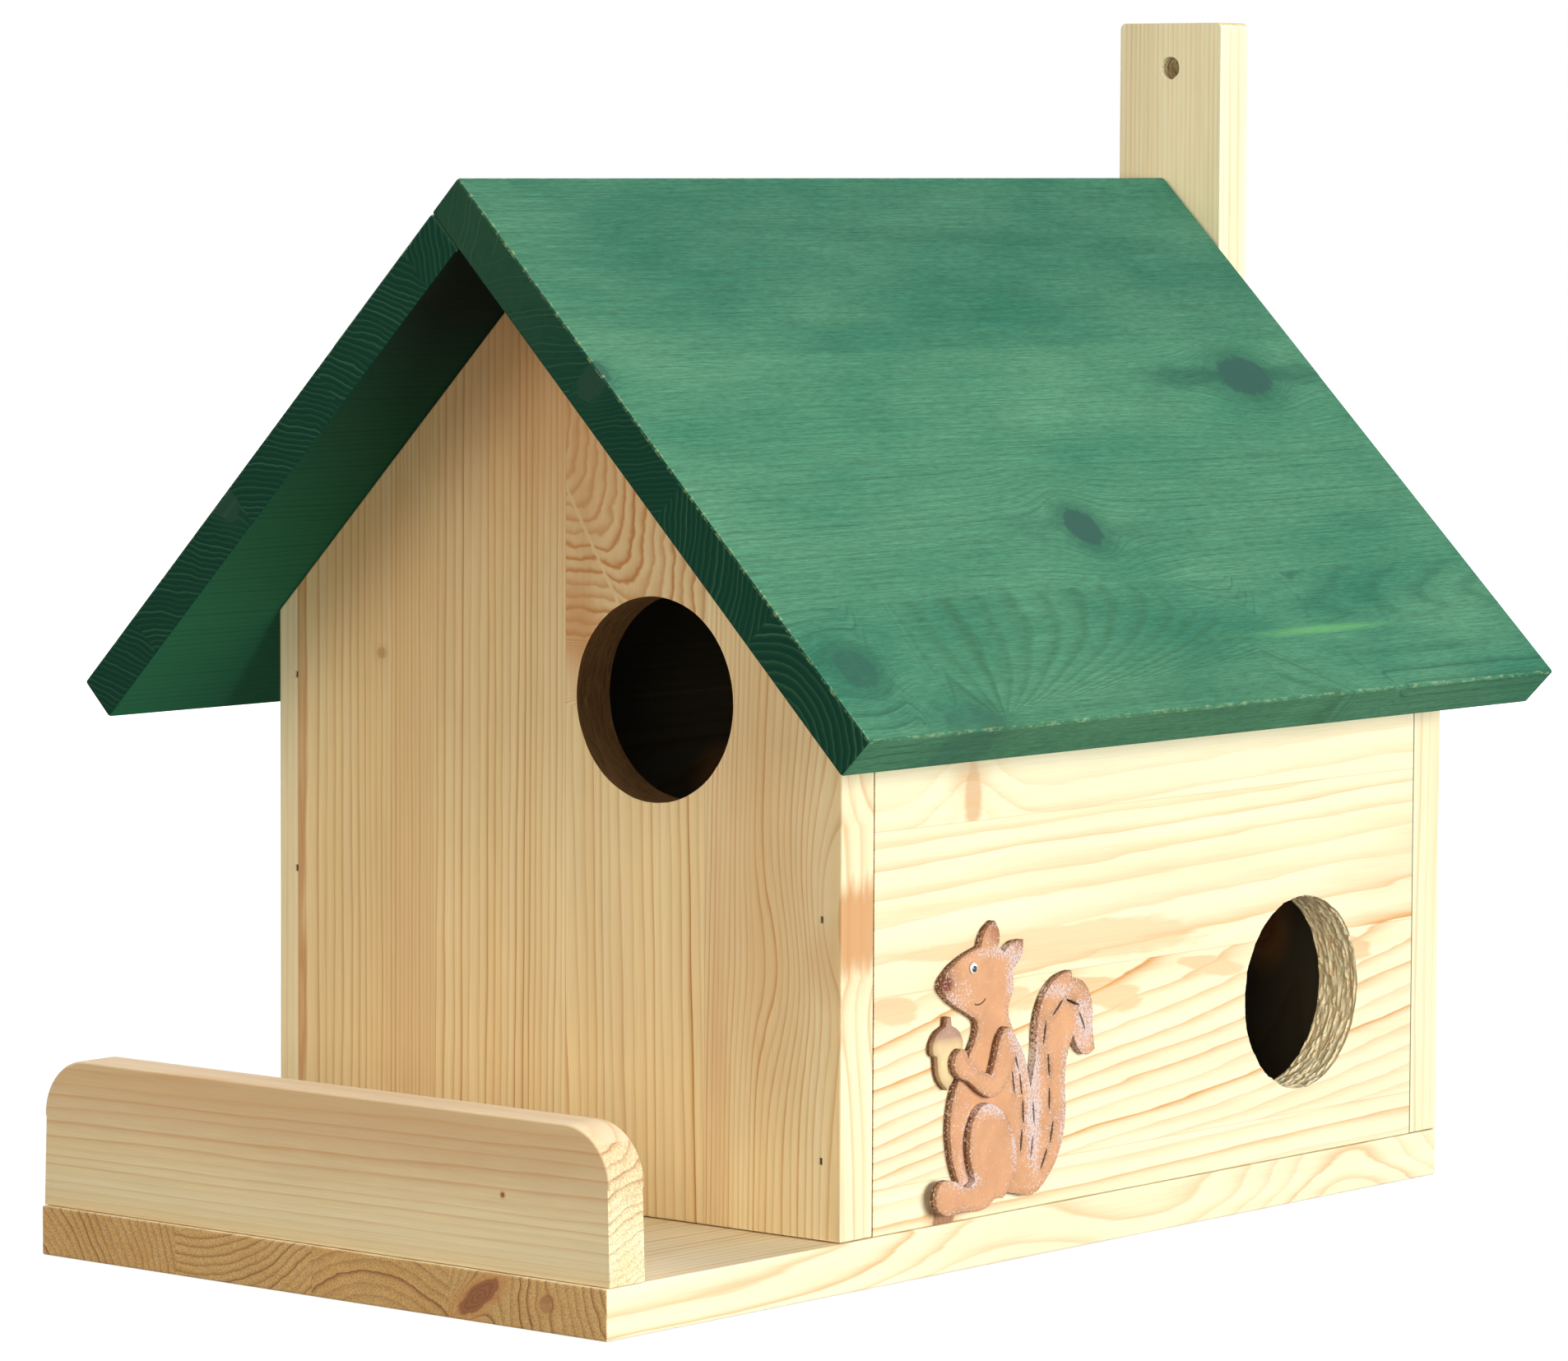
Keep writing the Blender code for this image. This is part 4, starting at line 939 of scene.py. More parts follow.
def stained_pine(board, figure=None):
    """Pine under a thin green stain: rings and knots show through, worn arrises show the wood, and the
    underside gets painted shade.
    """
    material, tree, shader = new_material("stained_pine_" + board.name)
    green = settings_of("stain")
    out, knot_at, latewood, stains, olive = grain(tree, board, figure)
    where = grain_place(tree)
    base = add(tree, MIX, out["Tone"], green.stain, green.stain_deep)

    # Uneven soaking: patches about 70 mm wide, drawn out along the brush strokes
    broad = add(tree, STRETCH, where, (0.022, 0.008, 0.02))
    soak = add(tree, NOISE, broad, Detail=4.0, Roughness=0.55)
    base = add(tree, MIX, add(tree, RANGE, soak, 0.34, 0.70, 0.0, 0.75), base, green.stain_thin)
    long = add(tree, STRETCH, where, (0.5, 0.008, 0.5))
    stroke = add(tree, RANGE, add(tree, NOISE, long, Detail=3.0), 0.3, 0.7, 0.95, 1.05)
    short = add(tree, STRETCH, where, (1.3, 0.16, 1.3))
    pore = add(tree, NOISE, short, Detail=3.0, Roughness=0.7)
    pore = add(tree, RANGE, pore, 0.36, 0.64, 0.82, 1.14)
    stroke = add(tree, TIMES, stroke, pore)
    line = add(tree, MIX, olive, green.stain_line, green.stain_olive)
    colour = add(tree, MIX, latewood, base, line)
    fibre = add(tree, RANGE, out["Fibre"], 0.3, 0.7, 0.78, 1.18)
    colour = add(tree, SCALE, colour, add(tree, TIMES, fibre, stroke))
    if board.stains:
        colour = add(tree, MIX, stains, colour, green.stain_yellow)
    lines = add(tree, TIMES, latewood, 1.8, use_clamp=True)
    sawn = add(tree, MIX, lines, green.stain_end, green.stain_end_line)
    colour = add(tree, MIX, out["End grain"], colour, sawn)
    if board.knots:
        colour = add(tree, MIX, add(tree, TIMES, knot_at["Halo"], 0.45), colour, green.stain_line)
        colour = add(tree, MIX, add(tree, TIMES, knot_at["Core"], 0.85), colour, green.stain_knot)

    # Painted shade on the underside, darkest by the ridge
    wear_and_shade = add(tree, READ, attribute_name="wear_and_shade").outputs["Fac"]
    down = add(tree, SPLIT, where).outputs["X"]
    painted_shade_level = add(tree, RANGE, down, 30.0, 200.0, 0.05, 1.0)
    painted_shade_level = add(tree, TIMES, painted_shade_level, add(tree, RANGE, latewood, 0.0, 1.0, 1.0, 0.2))
    painted_underside = add(tree, SCALE, green.underside_shade[:3], painted_shade_level)
    colour = add(tree, MIX, add(tree, BELOW, wear_and_shade, -0.5), colour, painted_underside)

    # Wear bares the wood in spots along the upper arrises
    spots = add(tree, STRETCH, where, (0.5, 0.22, 0.5))
    spot = add(tree, NOISE, spots, Detail=4.0, Roughness=0.7)
    spot = add(tree, RANGE, spot, 0.50, 0.70, 0.0, 0.40)
    bare = add(tree, TIMES, wear_and_shade, spot, use_clamp=True)
    height = add(tree, TIMES_PLUS, out["Fibre"], 0.8, latewood)
    connect(tree, shader, {
        "Base Color": add(tree, MIX, bare, colour, green.stain_worn),
        "Roughness": add(tree, RANGE, latewood, 0.0, 1.0, 0.82, 0.7),
        "Specular IOR Level": 0.12,
        "Normal": add(tree, BUMP, Height=height, Strength=0.5, Distance=0.15 * MM),
    })
    return material


def stained_board(name, face, edge, frost, second, frosted):
    """Stained fibreboard, cut with a hot beam: burnt rims with painted shade inside them, a pale
    dry-brushed bloom and a second colour.
    """
    material, tree, shader = new_material(name)
    place = add(tree, COORDINATES).outputs["Object"]
    fine = add(tree, STRETCH, place, (1000, 1000, 1000))
    cloud = add(tree, NOISE, fine, Scale=0.07, Detail=4.0, Roughness=0.6)
    tone = add(tree, RANGE, cloud, 0.3, 0.7, 0.88, 1.1)
    rim, cover, accent = [
        add(tree, READ, attribute_name=label).outputs["Fac"] for label in ("rim", "bloom", "accent")]
    colour = add(tree, SCALE, add(tree, MIX, accent, face, second), tone)
    uneven = add(tree, TIMES_PLUS, cloud, 1.6, rim)
    # Painted shade: the face darkens within about 4 mm of its cut edges, besides the burnt rim itself
    shade = add(tree, SOFT_RANGE, uneven, 0.8, 4.0, 0.22, 0.0)
    burnt = add(tree, LARGER, add(tree, SOFT_RANGE, uneven, 0.7, 1.4, 0.6, 0.0), shade)
    burnt = add(tree, LARGER, burnt, add(tree, BELOW, rim, -0.5))
    colour = add(tree, MIX, burnt, colour, edge)
    dots = add(tree, NOISE, fine, Scale=1.25, Detail=2.0, Roughness=0.7)
    by_rim = add(tree, RANGE, uneven, 1.0, 6.0, 0.30, 0.0)
    cover = add(tree, TIMES_PLUS, cover, 0.55, by_rim, use_clamp=True)
    level = add(tree, TIMES_PLUS, cover, 0.30, dots)
    dust = add(tree, RANGE, level, 0.66, 0.70, 0.0, frosted)
    connect(tree, shader, {
        "Base Color": add(tree, MIX, dust, colour, frost),
        "Roughness": 0.78,
        "Specular IOR Level": 0.25,
        "Normal": add(tree, BUMP, Height=dots, Strength=0.25, Distance=0.15 * MM),
    })
    return material


def enamel(name, colour, roughness):
    """A drop of enamel: glossy and slightly uneven."""
    material, tree, shader = new_material(name)
    place = add(tree, COORDINATES).outputs["Object"]
    cloud = add(tree, NOISE, place, Scale=900.0, Detail=2.0)
    tone = add(tree, RANGE, cloud, 0.3, 0.7, 0.94, 1.0)
    shade = add(tree, SCALE, colour[:3], tone)
    connect(tree, shader, {"Base Color": shade, "Roughness": roughness, "Coat Weight": 0.5})
    return material


def drawn_steel(name, colour, roughness, rates):
    """Bare or zinc plated steel: drawing and pressing leave streaks and dull spots.

    Real streaks are too fine to draw, so these are drawn coarser, a millimetre wide and more.
    """
    material, tree, shader = new_material(name)
    place = add(tree, COORDINATES).outputs["Object"]
    drawn = add(tree, STRETCH, place, rates)
    lines = add(tree, NOISE, drawn, Detail=4.0, Roughness=0.65)
    tone = add(tree, RANGE, lines, 0.3, 0.7, 0.9, 1.05)
    connect(tree, shader, {
        "Base Color": add(tree, SCALE, colour[:3], tone),
        "Roughness": add(tree, RANGE, lines, 0.3, 0.7, roughness - 0.06, roughness + 0.1),
        "Metallic": 1.0,
    })
    return material


class SQUIRRELHOUSE_wood(bpy.types.PropertyGroup):
    """Colours of the bare pine, with the painted light and shade in the entrances, and the sizes of its
    finish.
    """

    cream: StringProperty(
        name="Pale earlywood", description="Soft wood between the lines", default="#F8EAC4")
    tan: StringProperty(
        name="Tan earlywood", description="Soft wood of warmer strips", default="#EFD29C")
    honey: StringProperty(name="Pale latewood", description="Lines of pale strips", default="#DE9A4C")
    rust: StringProperty(name="Dark latewood", description="Lines of warmer strips", default="#AE743A")
    end_grain: StringProperty(name="End grain", description="Tint of sawn ends", default="#E8D2B0")
    end_brown: StringProperty(
        name="Sawn floor", description="Sawn ends of the floor", default="#E0C49C")
    end_pale: StringProperty(
        name="Pale end grain", description="Tint of the rail's ends", default="#FFFDF8")
    # Resin, and the warm painted shade under the front wall's eaves
    resin_and_shade: StringProperty(name="Resin", description="Stained wood around a knot", default="#C98A50")
    knot: StringProperty(name="Knot", description="Heart of a knot", default="#A0643A")
    knot_ring: StringProperty(name="Knot rings", description="Dark rings of a knot", default="#6E4226")
    torn_light: StringProperty(
        name="Torn fibres", description="Ridges in a bored hole", default="#FFEDC4")
    # Painted shade: darker fibres for the front hole's wall, which lies in shade
    front_hole_shade: StringProperty(
        name="Ochre fibres", description="Ridges in the front hole", default="#7E5C38")
    side_hollow_painted_light: StringProperty(
        # Painted light: pale hollows for the side hole's wall, for the light that falls into it
        name="Pale hollows", description="Hollows in the side hole", default="#F0C68A")
    torn_dark: StringProperty(
        name="Torn hollows", description="Hollows in a bored hole", default="#573B1D")
    arris: FloatProperty(
        name="Arris", description="Rounding of the boards' edges", default=0.0007, unit="LENGTH")


class SQUIRRELHOUSE_stain(bpy.types.PropertyGroup):
    """Colours of the green stain, and of the painted shade on the roof's underside."""

    stain: StringProperty(name="Stain", description="Green of the roof", default="#3F7355")
    stain_deep: StringProperty(
        name="Deep stain", description="Strips that drank more", default="#29624A")
    stain_thin: StringProperty(
        name="Thin stain", description="Patches with less stain", default="#578563")
    stain_line: StringProperty(
        name="Stained latewood", description="Lines in the stain", default="#1F4A38")
    stain_end: StringProperty(name="Stained ends", description="Sawn ends", default="#06382A")
    stain_end_line: StringProperty(
        name="Lines on the ends", description="Rings on the ends", default="#3A6148")
    # Painted shade: the colour that darkens the roof boards' underside
    underside_shade: StringProperty(name="Underside", description="Painted shade below", default="#246648")
    stain_knot: StringProperty(name="Stained knot", description="Knots in the roof", default="#2B4A40")
    stain_olive: StringProperty(
        name="Olive lines", description="Wide lines by the eave", default="#30593C")
    stain_yellow: StringProperty(name="Yellow stain", description="A brush streak", default="#67A35C")
    stain_worn: StringProperty(
        name="Worn edge", description="Wood showing at the edges", default="#B9C98A")


class SQUIRRELHOUSE_ornament(bpy.types.PropertyGroup):
    """Colours and relief of the squirrel."""

    fur: StringProperty(name="Fur", description="Stained face", default="#D59C72")
    # Burnt rims, and the painted shade inside them
    burnt: StringProperty(name="Burnt rim", description="Cut edges", default="#6B4428")
    bloom: StringProperty(name="Bloom", description="Dry-brushed highlights", default="#D9C6C2")
    nose: StringProperty(name="Nose", description="Tip of the nose", default="#7A3A2C")
    cap: StringProperty(name="Acorn cap", description="Cap of the acorn", default="#B58E78")
    acorn: StringProperty(name="Acorn", description="Nut of the acorn", default="#EBCB98")
    mouth: StringProperty(name="Mouth", description="Burnt line of the mouth", default="#5A2E1E")
    eye: StringProperty(name="Eye", description="Enamel of the eye", default="#F4F4F0")
    pupil: StringProperty(name="Pupil", description="Enamel of the pupil", default="#141820")
    arris: FloatProperty(
        name="Arris", description="Rounding of the cut edges", default=0.0004, unit="LENGTH")
    mesh_step: FloatProperty(
        name="Mesh step", description="Spacing of the grid on the faces", default=0.0016, unit="LENGTH")


class SQUIRRELHOUSE_metal(bpy.types.PropertyGroup):
    """Colours of the brads, screws and hinges."""

    wire: StringProperty(name="Wire", description="Browned steel of the brads", default="#5A4C40")
    zinc: StringProperty(name="Zinc", description="Plating of screws and hinges", default="#A3A6A8")


class SQUIRRELHOUSE_stage(bpy.types.PropertyGroup):
    """Camera and light of the product picture."""

    ground: StringProperty(name="Ground", description="Grey of the studio floor", default="#6A6A69")
    lens: FloatProperty(
        name="Lens", description="Focal length in millimetres", default=152.72, unit="CAMERA")
    key: FloatProperty(name="Key light", description="Level on the right-hand walls", default=1.13)
    fill: FloatProperty(name="Fill light", description="Level on the porch side", default=0.30)
    front: FloatProperty(name="Front light", description="Level from beside the camera", default=0.23)
    top: FloatProperty(name="Top light", description="Level from above", default=1.10)
    world: FloatProperty(name="Room light", description="Level from all around", default=0.06)


def brad_names(board, sides, count):
    """The frame's names of the brads along some sides of a board."""
    return [f"{board}_{side}_brad_{number}" for side in sides for number in range(1, count + 1)]


def brad_pockets(piece, labels, out, along):
    """Cut the shallow slots in which the brads' heads lie."""
    for label in labels:
        low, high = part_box(label)
        middle = (low + high) / 2
        depth = max((corner - middle).dot(out) for corner in (low, high))
        surface = middle + out * depth
        half = along * BRAD_SLOT.x + out.cross(along) * BRAD_SLOT.y
        reach = out * BRAD_SLOT.z
        corners = (surface - half - reach, surface + half + reach)
        carve(piece, block(label + "_pocket", Vector(map(min, *corners)), Vector(map(max, *corners))))


def gable(name, low, high):
    """A gable wall: a block sawn along both slopes."""
    wall = block(name, low, Vector((high.x, high.y, APEX.z)))
    for out in (LEFT_OUT, RIGHT_OUT):
        saw(wall, APEX - out * FIT, out)
    return wall


def finish_pine(piece, node, board, origin, axes, end_colour, **more):
    """Write a pine board's grain, and give it its finish and its place in the frame."""
    set_grain(piece, origin, *axes, board.strips)
    dress(piece, planed_pine(board, end_colour, **more), HOUSE, node)


class SQUIRRELHOUSE_OT_walls(bpy.types.Operator):
    """Model the two gable walls and the two side walls"""

    bl_idname = "squirrelhouse.walls"
    bl_label = "Walls"

    def execute(self, context):
        wood = settings_of("wood")
        for board, low, high, out, figure in (
            (FRONT, FRONT_LOW, FRONT_HIGH, -NORTH, feather), (BACK, BACK_LOW, BACK_HIGH, NORTH, None),
        ):
            wall = gable(board.name + "_gable", low, high)
            ease_edges(wall, wood.arris)
            if board is FRONT:
                bore(wall, FRONT_ENTRANCE, NORTH, ENTRANCE_RADIUS, sides=192, rings=14,
                     roughness=0.3 * MM, stretch=9 * MM, raggedness=0.15 * MM)
            brad_pockets(wall, brad_names(board.name, ("left", "right"), 3), out, UP)
            origin = Vector((0, low.y if board is FRONT else high.y, 0))
            finish_pine(wall, board.name + "_wall", board, origin, (EAST, UP, -out), wood.end_grain,
                        figure=figure, inside=INSIDE_SHADE)
            if board is FRONT:
                # Painted shade: the front hole's wall gets darker fibres for the shade inside it
                torn = torn_pine("torn_pine_front_entrance", wood.front_hole_shade, wood.torn_dark,
                                 (120, 900, 120), 0.4)
                line_bore(wall, torn, FRONT_ENTRANCE, NORTH, ENTRANCE_RADIUS)
            smooth(wall)
        for board, low, high, out, slope in (
            (SIDE, SIDE_LOW, SIDE_HIGH, EAST, RIGHT_OUT), (LEFT, LEFT_LOW, LEFT_HIGH, -EAST, LEFT_OUT),
        ):
            wall = block(board.name + "_side", low, high)
            saw(wall, APEX - slope * FIT, slope)
            ease_edges(wall, wood.arris / 2)
            if board is SIDE:
                bore(wall, SIDE_ENTRANCE, EAST, ENTRANCE_RADIUS, sides=240, rings=32,
                     roughness=0.9 * MM, stretch=6 * MM, raggedness=0.45 * MM)
            origin = Vector((high.x if board is SIDE else low.x, FRONT_LOW.y, 0))
            finish_pine(wall, board.name + "_wall", board, origin, (UP, NORTH, -out), wood.end_grain,
                        inside=INSIDE_SHADE)
            if board is SIDE:
                # Painted light: the side hole's wall gets pale ridges and pale hollows, for the light that
                # falls into it
                frayed_with_painted_light = torn_pine("torn_pine_side_entrance", wood.torn_light, wood.side_hollow_painted_light,
                                   (700, 150, 150), 0.5)
                line_bore(wall, frayed_with_painted_light, SIDE_ENTRANCE, EAST, ENTRANCE_RADIUS)
            smooth(wall)
        return {"FINISHED"}


class SQUIRRELHOUSE_OT_floor(bpy.types.Operator):
    """Model the floor board and the porch rail"""

    bl_idname = "squirrelhouse.floor"
    bl_label = "Floor and rail"

    def execute(self, context):
        wood = settings_of("wood")
        floor = block("floor", FLOOR_LOW, FLOOR_HIGH)
        ease_edges(floor, wood.arris)
        brad_pockets(floor, brad_names("floor", ("left", "right"), 2), -UP, NORTH)
        rail_brads = [f"rail_brad_{number}" for number in (1, 2, 3)]
        brad_pockets(floor, brad_names("floor", ("front", "back"), 2) + rail_brads, -UP, EAST)
        origin = Vector((0, FRONT_LOW.y, FLOOR_HIGH.z))
        finish_pine(floor, "floor_board", FLOOR, origin, (EAST, NORTH, -UP), wood.end_brown)
        smooth(floor)

        def is_top_corner(edge):
            return runs_along(edge, NORTH) and lowest(edge) > RAIL_HIGH.z - 1 * MM

        def is_top_edge(edge):
            first, second = edge.verts
            flat = abs((second.co - first.co).dot(NORTH)) < 0.1 * MM
            high = max(first.co.z, second.co.z) > RAIL_HIGH.z - RAIL_CORNER + 0.5 * MM
            return flat and high and edge.calc_face_angle() > math.radians(60)

        rail = block("rail", RAIL_LOW, RAIL_HIGH)
        ease_edges(rail, RAIL_CORNER, 24, is_top_corner)
        ease_edges(rail, RAIL_TOP_EDGE, 5, is_top_edge)
        ease_edges(rail, wood.arris / 2, wanted=is_long)
        origin = Vector((0, RAIL_LOW.y, 0))
        finish_pine(rail, "porch_rail", RAIL, origin, (UP, EAST, NORTH), wood.end_pale)
        smooth(rail)
        return {"FINISHED"}


def roof_board(name, start, down, out, low, high, brads):
    """A roof board shaped flat, with slots for its brads' heads, and then laid on its slope."""
    piece = block(name, Vector((start, low, 0)), Vector((ROOF_SLOPE, high, BOARD)))
    ease_edges(piece, ROOF_ARRIS)
    for label in brads:
        middle = sum(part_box(label), Vector()) / 2
        place = Vector(((middle - APEX).dot(down), middle.y, BOARD))
        carve(piece, block(label + "_pocket", place - BRAD_SLOT, place + BRAD_SLOT))
    turn = Matrix((down, NORTH, out)).transposed().to_4x4()
    piece.data.transform(Matrix.Translation(APEX) @ turn)
    if turn.determinant() < 0:
        with editing(piece, chosen="SELECT"):
            bpy.ops.mesh.normals_make_consistent(inside=False)
    return piece


class SQUIRRELHOUSE_OT_roof(bpy.types.Operator):
    """Model the fixed roof board and the lid"""

    bl_idname = "squirrelhouse.roof"
    bl_label = "Roof"

    def execute(self, context):
        brads = brad_names("roof", ("front", "back"), 3)
        for board, name, node, body, start, down, out, low, high, slots, figure in (
            (LID_BOARD, "lid_board", "right_roof_board", LID, -BOARD, RIGHT_DOWN, RIGHT_OUT,
             LID_LOW, LID_HIGH, (), fan),
            (ROOF_BOARD, "fixed_roof_board", "left_roof_board", HOUSE, FIT, LEFT_DOWN, LEFT_OUT,
             ROOF_LOW, ROOF_HIGH, brads, None),
        ):
            piece = roof_board(name, start, down, out, low.y, high.y, slots)
            origin = APEX + out * BOARD
            origin.y = FRONT_LOW.y
            set_grain(piece, origin, down, NORTH, -out, board.strips)
            mark_wear_and_shade(piece, down, out)
            dress(piece, stained_pine(board, figure), body, node)
            smooth(piece)
        return {"FINISHED"}


class SQUIRRELHOUSE_OT_batten(bpy.types.Operator):
    """Model the hanging batten"""

    bl_idname = "squirrelhouse.batten"
    bl_label = "Hanging batten"

    def execute(self, context):
        wood = settings_of("wood")

        def is_top_corner(edge):
            return runs_along(edge, NORTH) and lowest(edge) > BATTEN_HIGH.z - 1 * MM

        batten = block("batten", BATTEN_LOW, BATTEN_HIGH)
        ease_edges(batten, BATTEN_CORNER, 5, is_top_corner)
        ease_edges(batten, wood.arris, wanted=is_long)
        for number in (1, 2, 3):
            low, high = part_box(f"batten_screw_{number}")
            radius = (high.x - low.x) / 2 + FIT
            place = Vector(((low.x + high.x) / 2, high.y - radius / 2 + FIT, (low.z + high.z) / 2))
            bpy.ops.mesh.primitive_cone_add(
                vertices=48, radius1=radius * 1.1, radius2=radius * 0.1, depth=radius, location=place,
                rotation=(math.pi / 2, 0, 0))
            carve(batten, bpy.context.object)
        bore(batten, HANGING_HOLE, NORTH, HANGING_RADIUS, sides=64, rings=10,
             roughness=0.35 * MM, stretch=3 * MM, raggedness=0.4 * MM)
        origin = Vector((HANGING_HOLE.x, BATTEN_LOW.y, 0))
        finish_pine(batten, "hanging_batten", BATTEN, origin, (EAST, UP, NORTH), wood.end_grain)
        torn = torn_pine("torn_pine_hanging_hole", wood.torn_light, wood.torn_dark, (300, 900, 300), 0.8)
        line_bore(batten, torn, HANGING_HOLE, NORTH, HANGING_RADIUS)
        smooth(batten)
        return {"FINISHED"}


def cut_out(name, node, settings, blooms, accents):
    """A flat ornament piece: a merged copy of its solid with eased edges and a fine face."""
    piece = bpy.data.objects.new(name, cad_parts[node].data.copy())
    bpy.context.scene.collection.objects.link(piece)
    with editing(piece, chosen="SELECT"):
        bpy.ops.mesh.remove_doubles(threshold=0.01 * MM)
        bpy.ops.mesh.dissolve_limited(angle_limit=math.radians(1))
    low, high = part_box(node)

    def on_face(edge):
        return min(vertex.co.x for vertex in edge.verts) > high.x - 0.01 * MM

    rim = []
    with editing(piece, "EDGE") as mesh:
        for edge in mesh.edges:
            if on_face(edge) and edge.calc_face_angle() > SHARP:
                rim.append([(vertex.co.y, vertex.co.z) for vertex in edge.verts])
    ease_edges(piece, settings.arris, wanted=on_face)
    step = settings.mesh_step
    for axis in (NORTH, UP):
        for count in range(1, int((high - low).dot(axis) / step)):
            saw(piece, axis * (low.dot(axis) + count * step), axis, through=False)
    start, end = np.array(rim).transpose(1, 0, 2)
    along = end - start
    length = (along ** 2).sum(1)
    labels = ("rim", "bloom", "accent")
    for label in labels:
        piece.data.attributes.new(label, "FLOAT", "POINT")
    distance, cover, accent = [piece.data.attributes[label] for label in labels]
    for vertex in piece.data.vertices:
        offset = np.array(vertex.co.yz) - start
        share = np.clip((offset * along).sum(1) / length, 0, 1)
        gap = np.sqrt(((offset - along * share[:, None]) ** 2).sum(1)).min()
        deep = vertex.co.x < high.x - 0.6 * MM
        distance.data[vertex.index].value = -1 if deep else gap / MM
        at_y = (vertex.co.y - ORNAMENT_LOW.y) / ORNAMENT_SIZE.y
        at_z = (vertex.co.z - ORNAMENT_LOW.z) / ORNAMENT_SIZE.z
        for spots, found in ((blooms, cover), (accents, accent)):
            values = [amount * min(1, 2.4 * math.exp(-((at_y - y) / wide) ** 2 - ((at_z - z) / tall) ** 2))
                      for y, z, wide, tall, amount in spots]
            found.data[vertex.index].value = max(values, default=0)
    return piece


class SQUIRRELHOUSE_OT_ornament(bpy.types.Operator):
    """Model the squirrel on the right wall"""

    bl_idname = "squirrelhouse.ornament"
    bl_label = "Squirrel ornament"

    def execute(self, context):
        look = settings_of("ornament")
        fur = stained_board("stained_fibreboard_fur", look.fur, look.burnt, look.bloom, look.nose, 0.9)
        nut = stained_board("stained_fibreboard_acorn", look.acorn, look.burnt, look.bloom, look.cap, 0.3)
        for name, node, material, blooms, accents, slot in (
            ("squirrel_body", "squirrel_plate", fur, PLATE_BLOOM_SHARES, NOSE_AND_EAR_SHARES,
             "ornament_board"),
            ("squirrel_thigh", "squirrel_leg", fur, LEG_BLOOM_SHARES, (), "ornament_board"),
            ("squirrel_paw", "squirrel_arm", fur, ARM_BLOOM_SHARES, (), "ornament_board"),
            ("acorn", "squirrel_acorn", nut, (), ACORN_CAP_SHARES, "acorn_board"),
        ):
            piece = cut_out(name, node, look, blooms, accents)
            dress(piece, material, HOUSE, node)
            smooth(piece, 30)
        self.eye(look)
        self.mouth(look)
        return {"FINISHED"}

    def mouth(self, look):
        """A thin burnt line that smiles: the lower arc of a ring let into the face."""
        place = Vector((ORNAMENT_HIGH.x, ORNAMENT_LOW.y + ORNAMENT_SIZE.y * 0.235,
                        ORNAMENT_LOW.z + ORNAMENT_SIZE.z * 0.765))
        bpy.ops.mesh.primitive_torus_add(
            major_radius=5.5 * MM, minor_radius=0.28 * MM, major_segments=64, minor_segments=8,
            location=place, rotation=(0, math.pi / 2, 0))
        piece = settle("mouth")
        saw(piece, place - UP * (3.6 * MM), UP)
        saw(piece, place - NORTH * (2.0 * MM), -NORTH)
        dress(piece, enamel("enamel_mouth", look.mouth, 0.6), HOUSE, "squirrel_plate")
        smooth(piece, 60)

    def eye(self, look):
        """A white enamel dot with a dark pupil that looks forward."""
        low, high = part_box("squirrel_eye")
        middle = (low + high) / 2
        radius = (high.y - low.y) / 2
        pupil = Vector((high.x - 0.35 * MM, middle.y - radius * 0.12, middle.z - radius * 0.1))
        for name, place, size, thickness, colour, rough in (
            ("eye_white", Vector((low.x, middle.y, middle.z)), radius, high.x - low.x, look.eye, 0.25),
            ("eye_pupil", pupil, radius * 0.62, 0.45 * MM, look.pupil, 0.2),
        ):
            bpy.ops.mesh.primitive_uv_sphere_add(
                segments=32, ring_count=16, radius=1, location=place, scale=(thickness, size, size))
            piece = settle(name)
            saw(piece, place, -EAST)
            dress(piece, enamel("enamel_" + name, colour, rough), HOUSE, "squirrel_eye")
            smooth(piece, 60)


class SQUIRRELHOUSE_OT_fittings(bpy.types.Operator):
    """Give the brads, screws and hinges their metal finishes"""

    bl_idname = "squirrelhouse.fittings"
    bl_label = "Brads, screws and hinges"

    def execute(self, context):
        metal = settings_of("metal")
        steel = drawn_steel("browned_steel_wire", metal.wire, 0.5, (900, 900, 900))
        zinc = drawn_steel("zinc_plated_steel", metal.zinc, 0.36, (260, 60, 260))
        for name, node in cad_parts.items():
            finish = steel if "brad" in name else zinc if "hinge" in name or "screw" in name else None
            if finish:
                node.data.materials.clear()
                node.data.materials.append(finish)
        return {"FINISHED"}


def light(name, place, size, level, colour):
    """A soft box whose level is what a white surface facing it at the house would show."""
    lamp = bpy.data.lights.new(name, "AREA")
    lamp.shape = "RECTANGLE"
    lamp.size, lamp.size_y = size
    distance = (place - TARGET).length
    lamp.energy = level * math.pi ** 2 * distance ** 2
    lamp.color = linear(colour)[:3]
    piece = bpy.data.objects.new(name, lamp)
    piece.location = place
    piece.rotation_euler = (TARGET - place).to_track_quat("-Z", "Y").to_euler()
    bpy.context.scene.collection.objects.link(piece)


def seen_directly(tree):
    """One for what the camera sees, also in a mirror or through glass."""
    rays = add(tree, RAYS).outputs
    seen = add(tree, LARGER, rays["Is Camera Ray"], rays["Is Glossy Ray"])
    return add(tree, LARGER, seen, rays["Is Transmission Ray"])


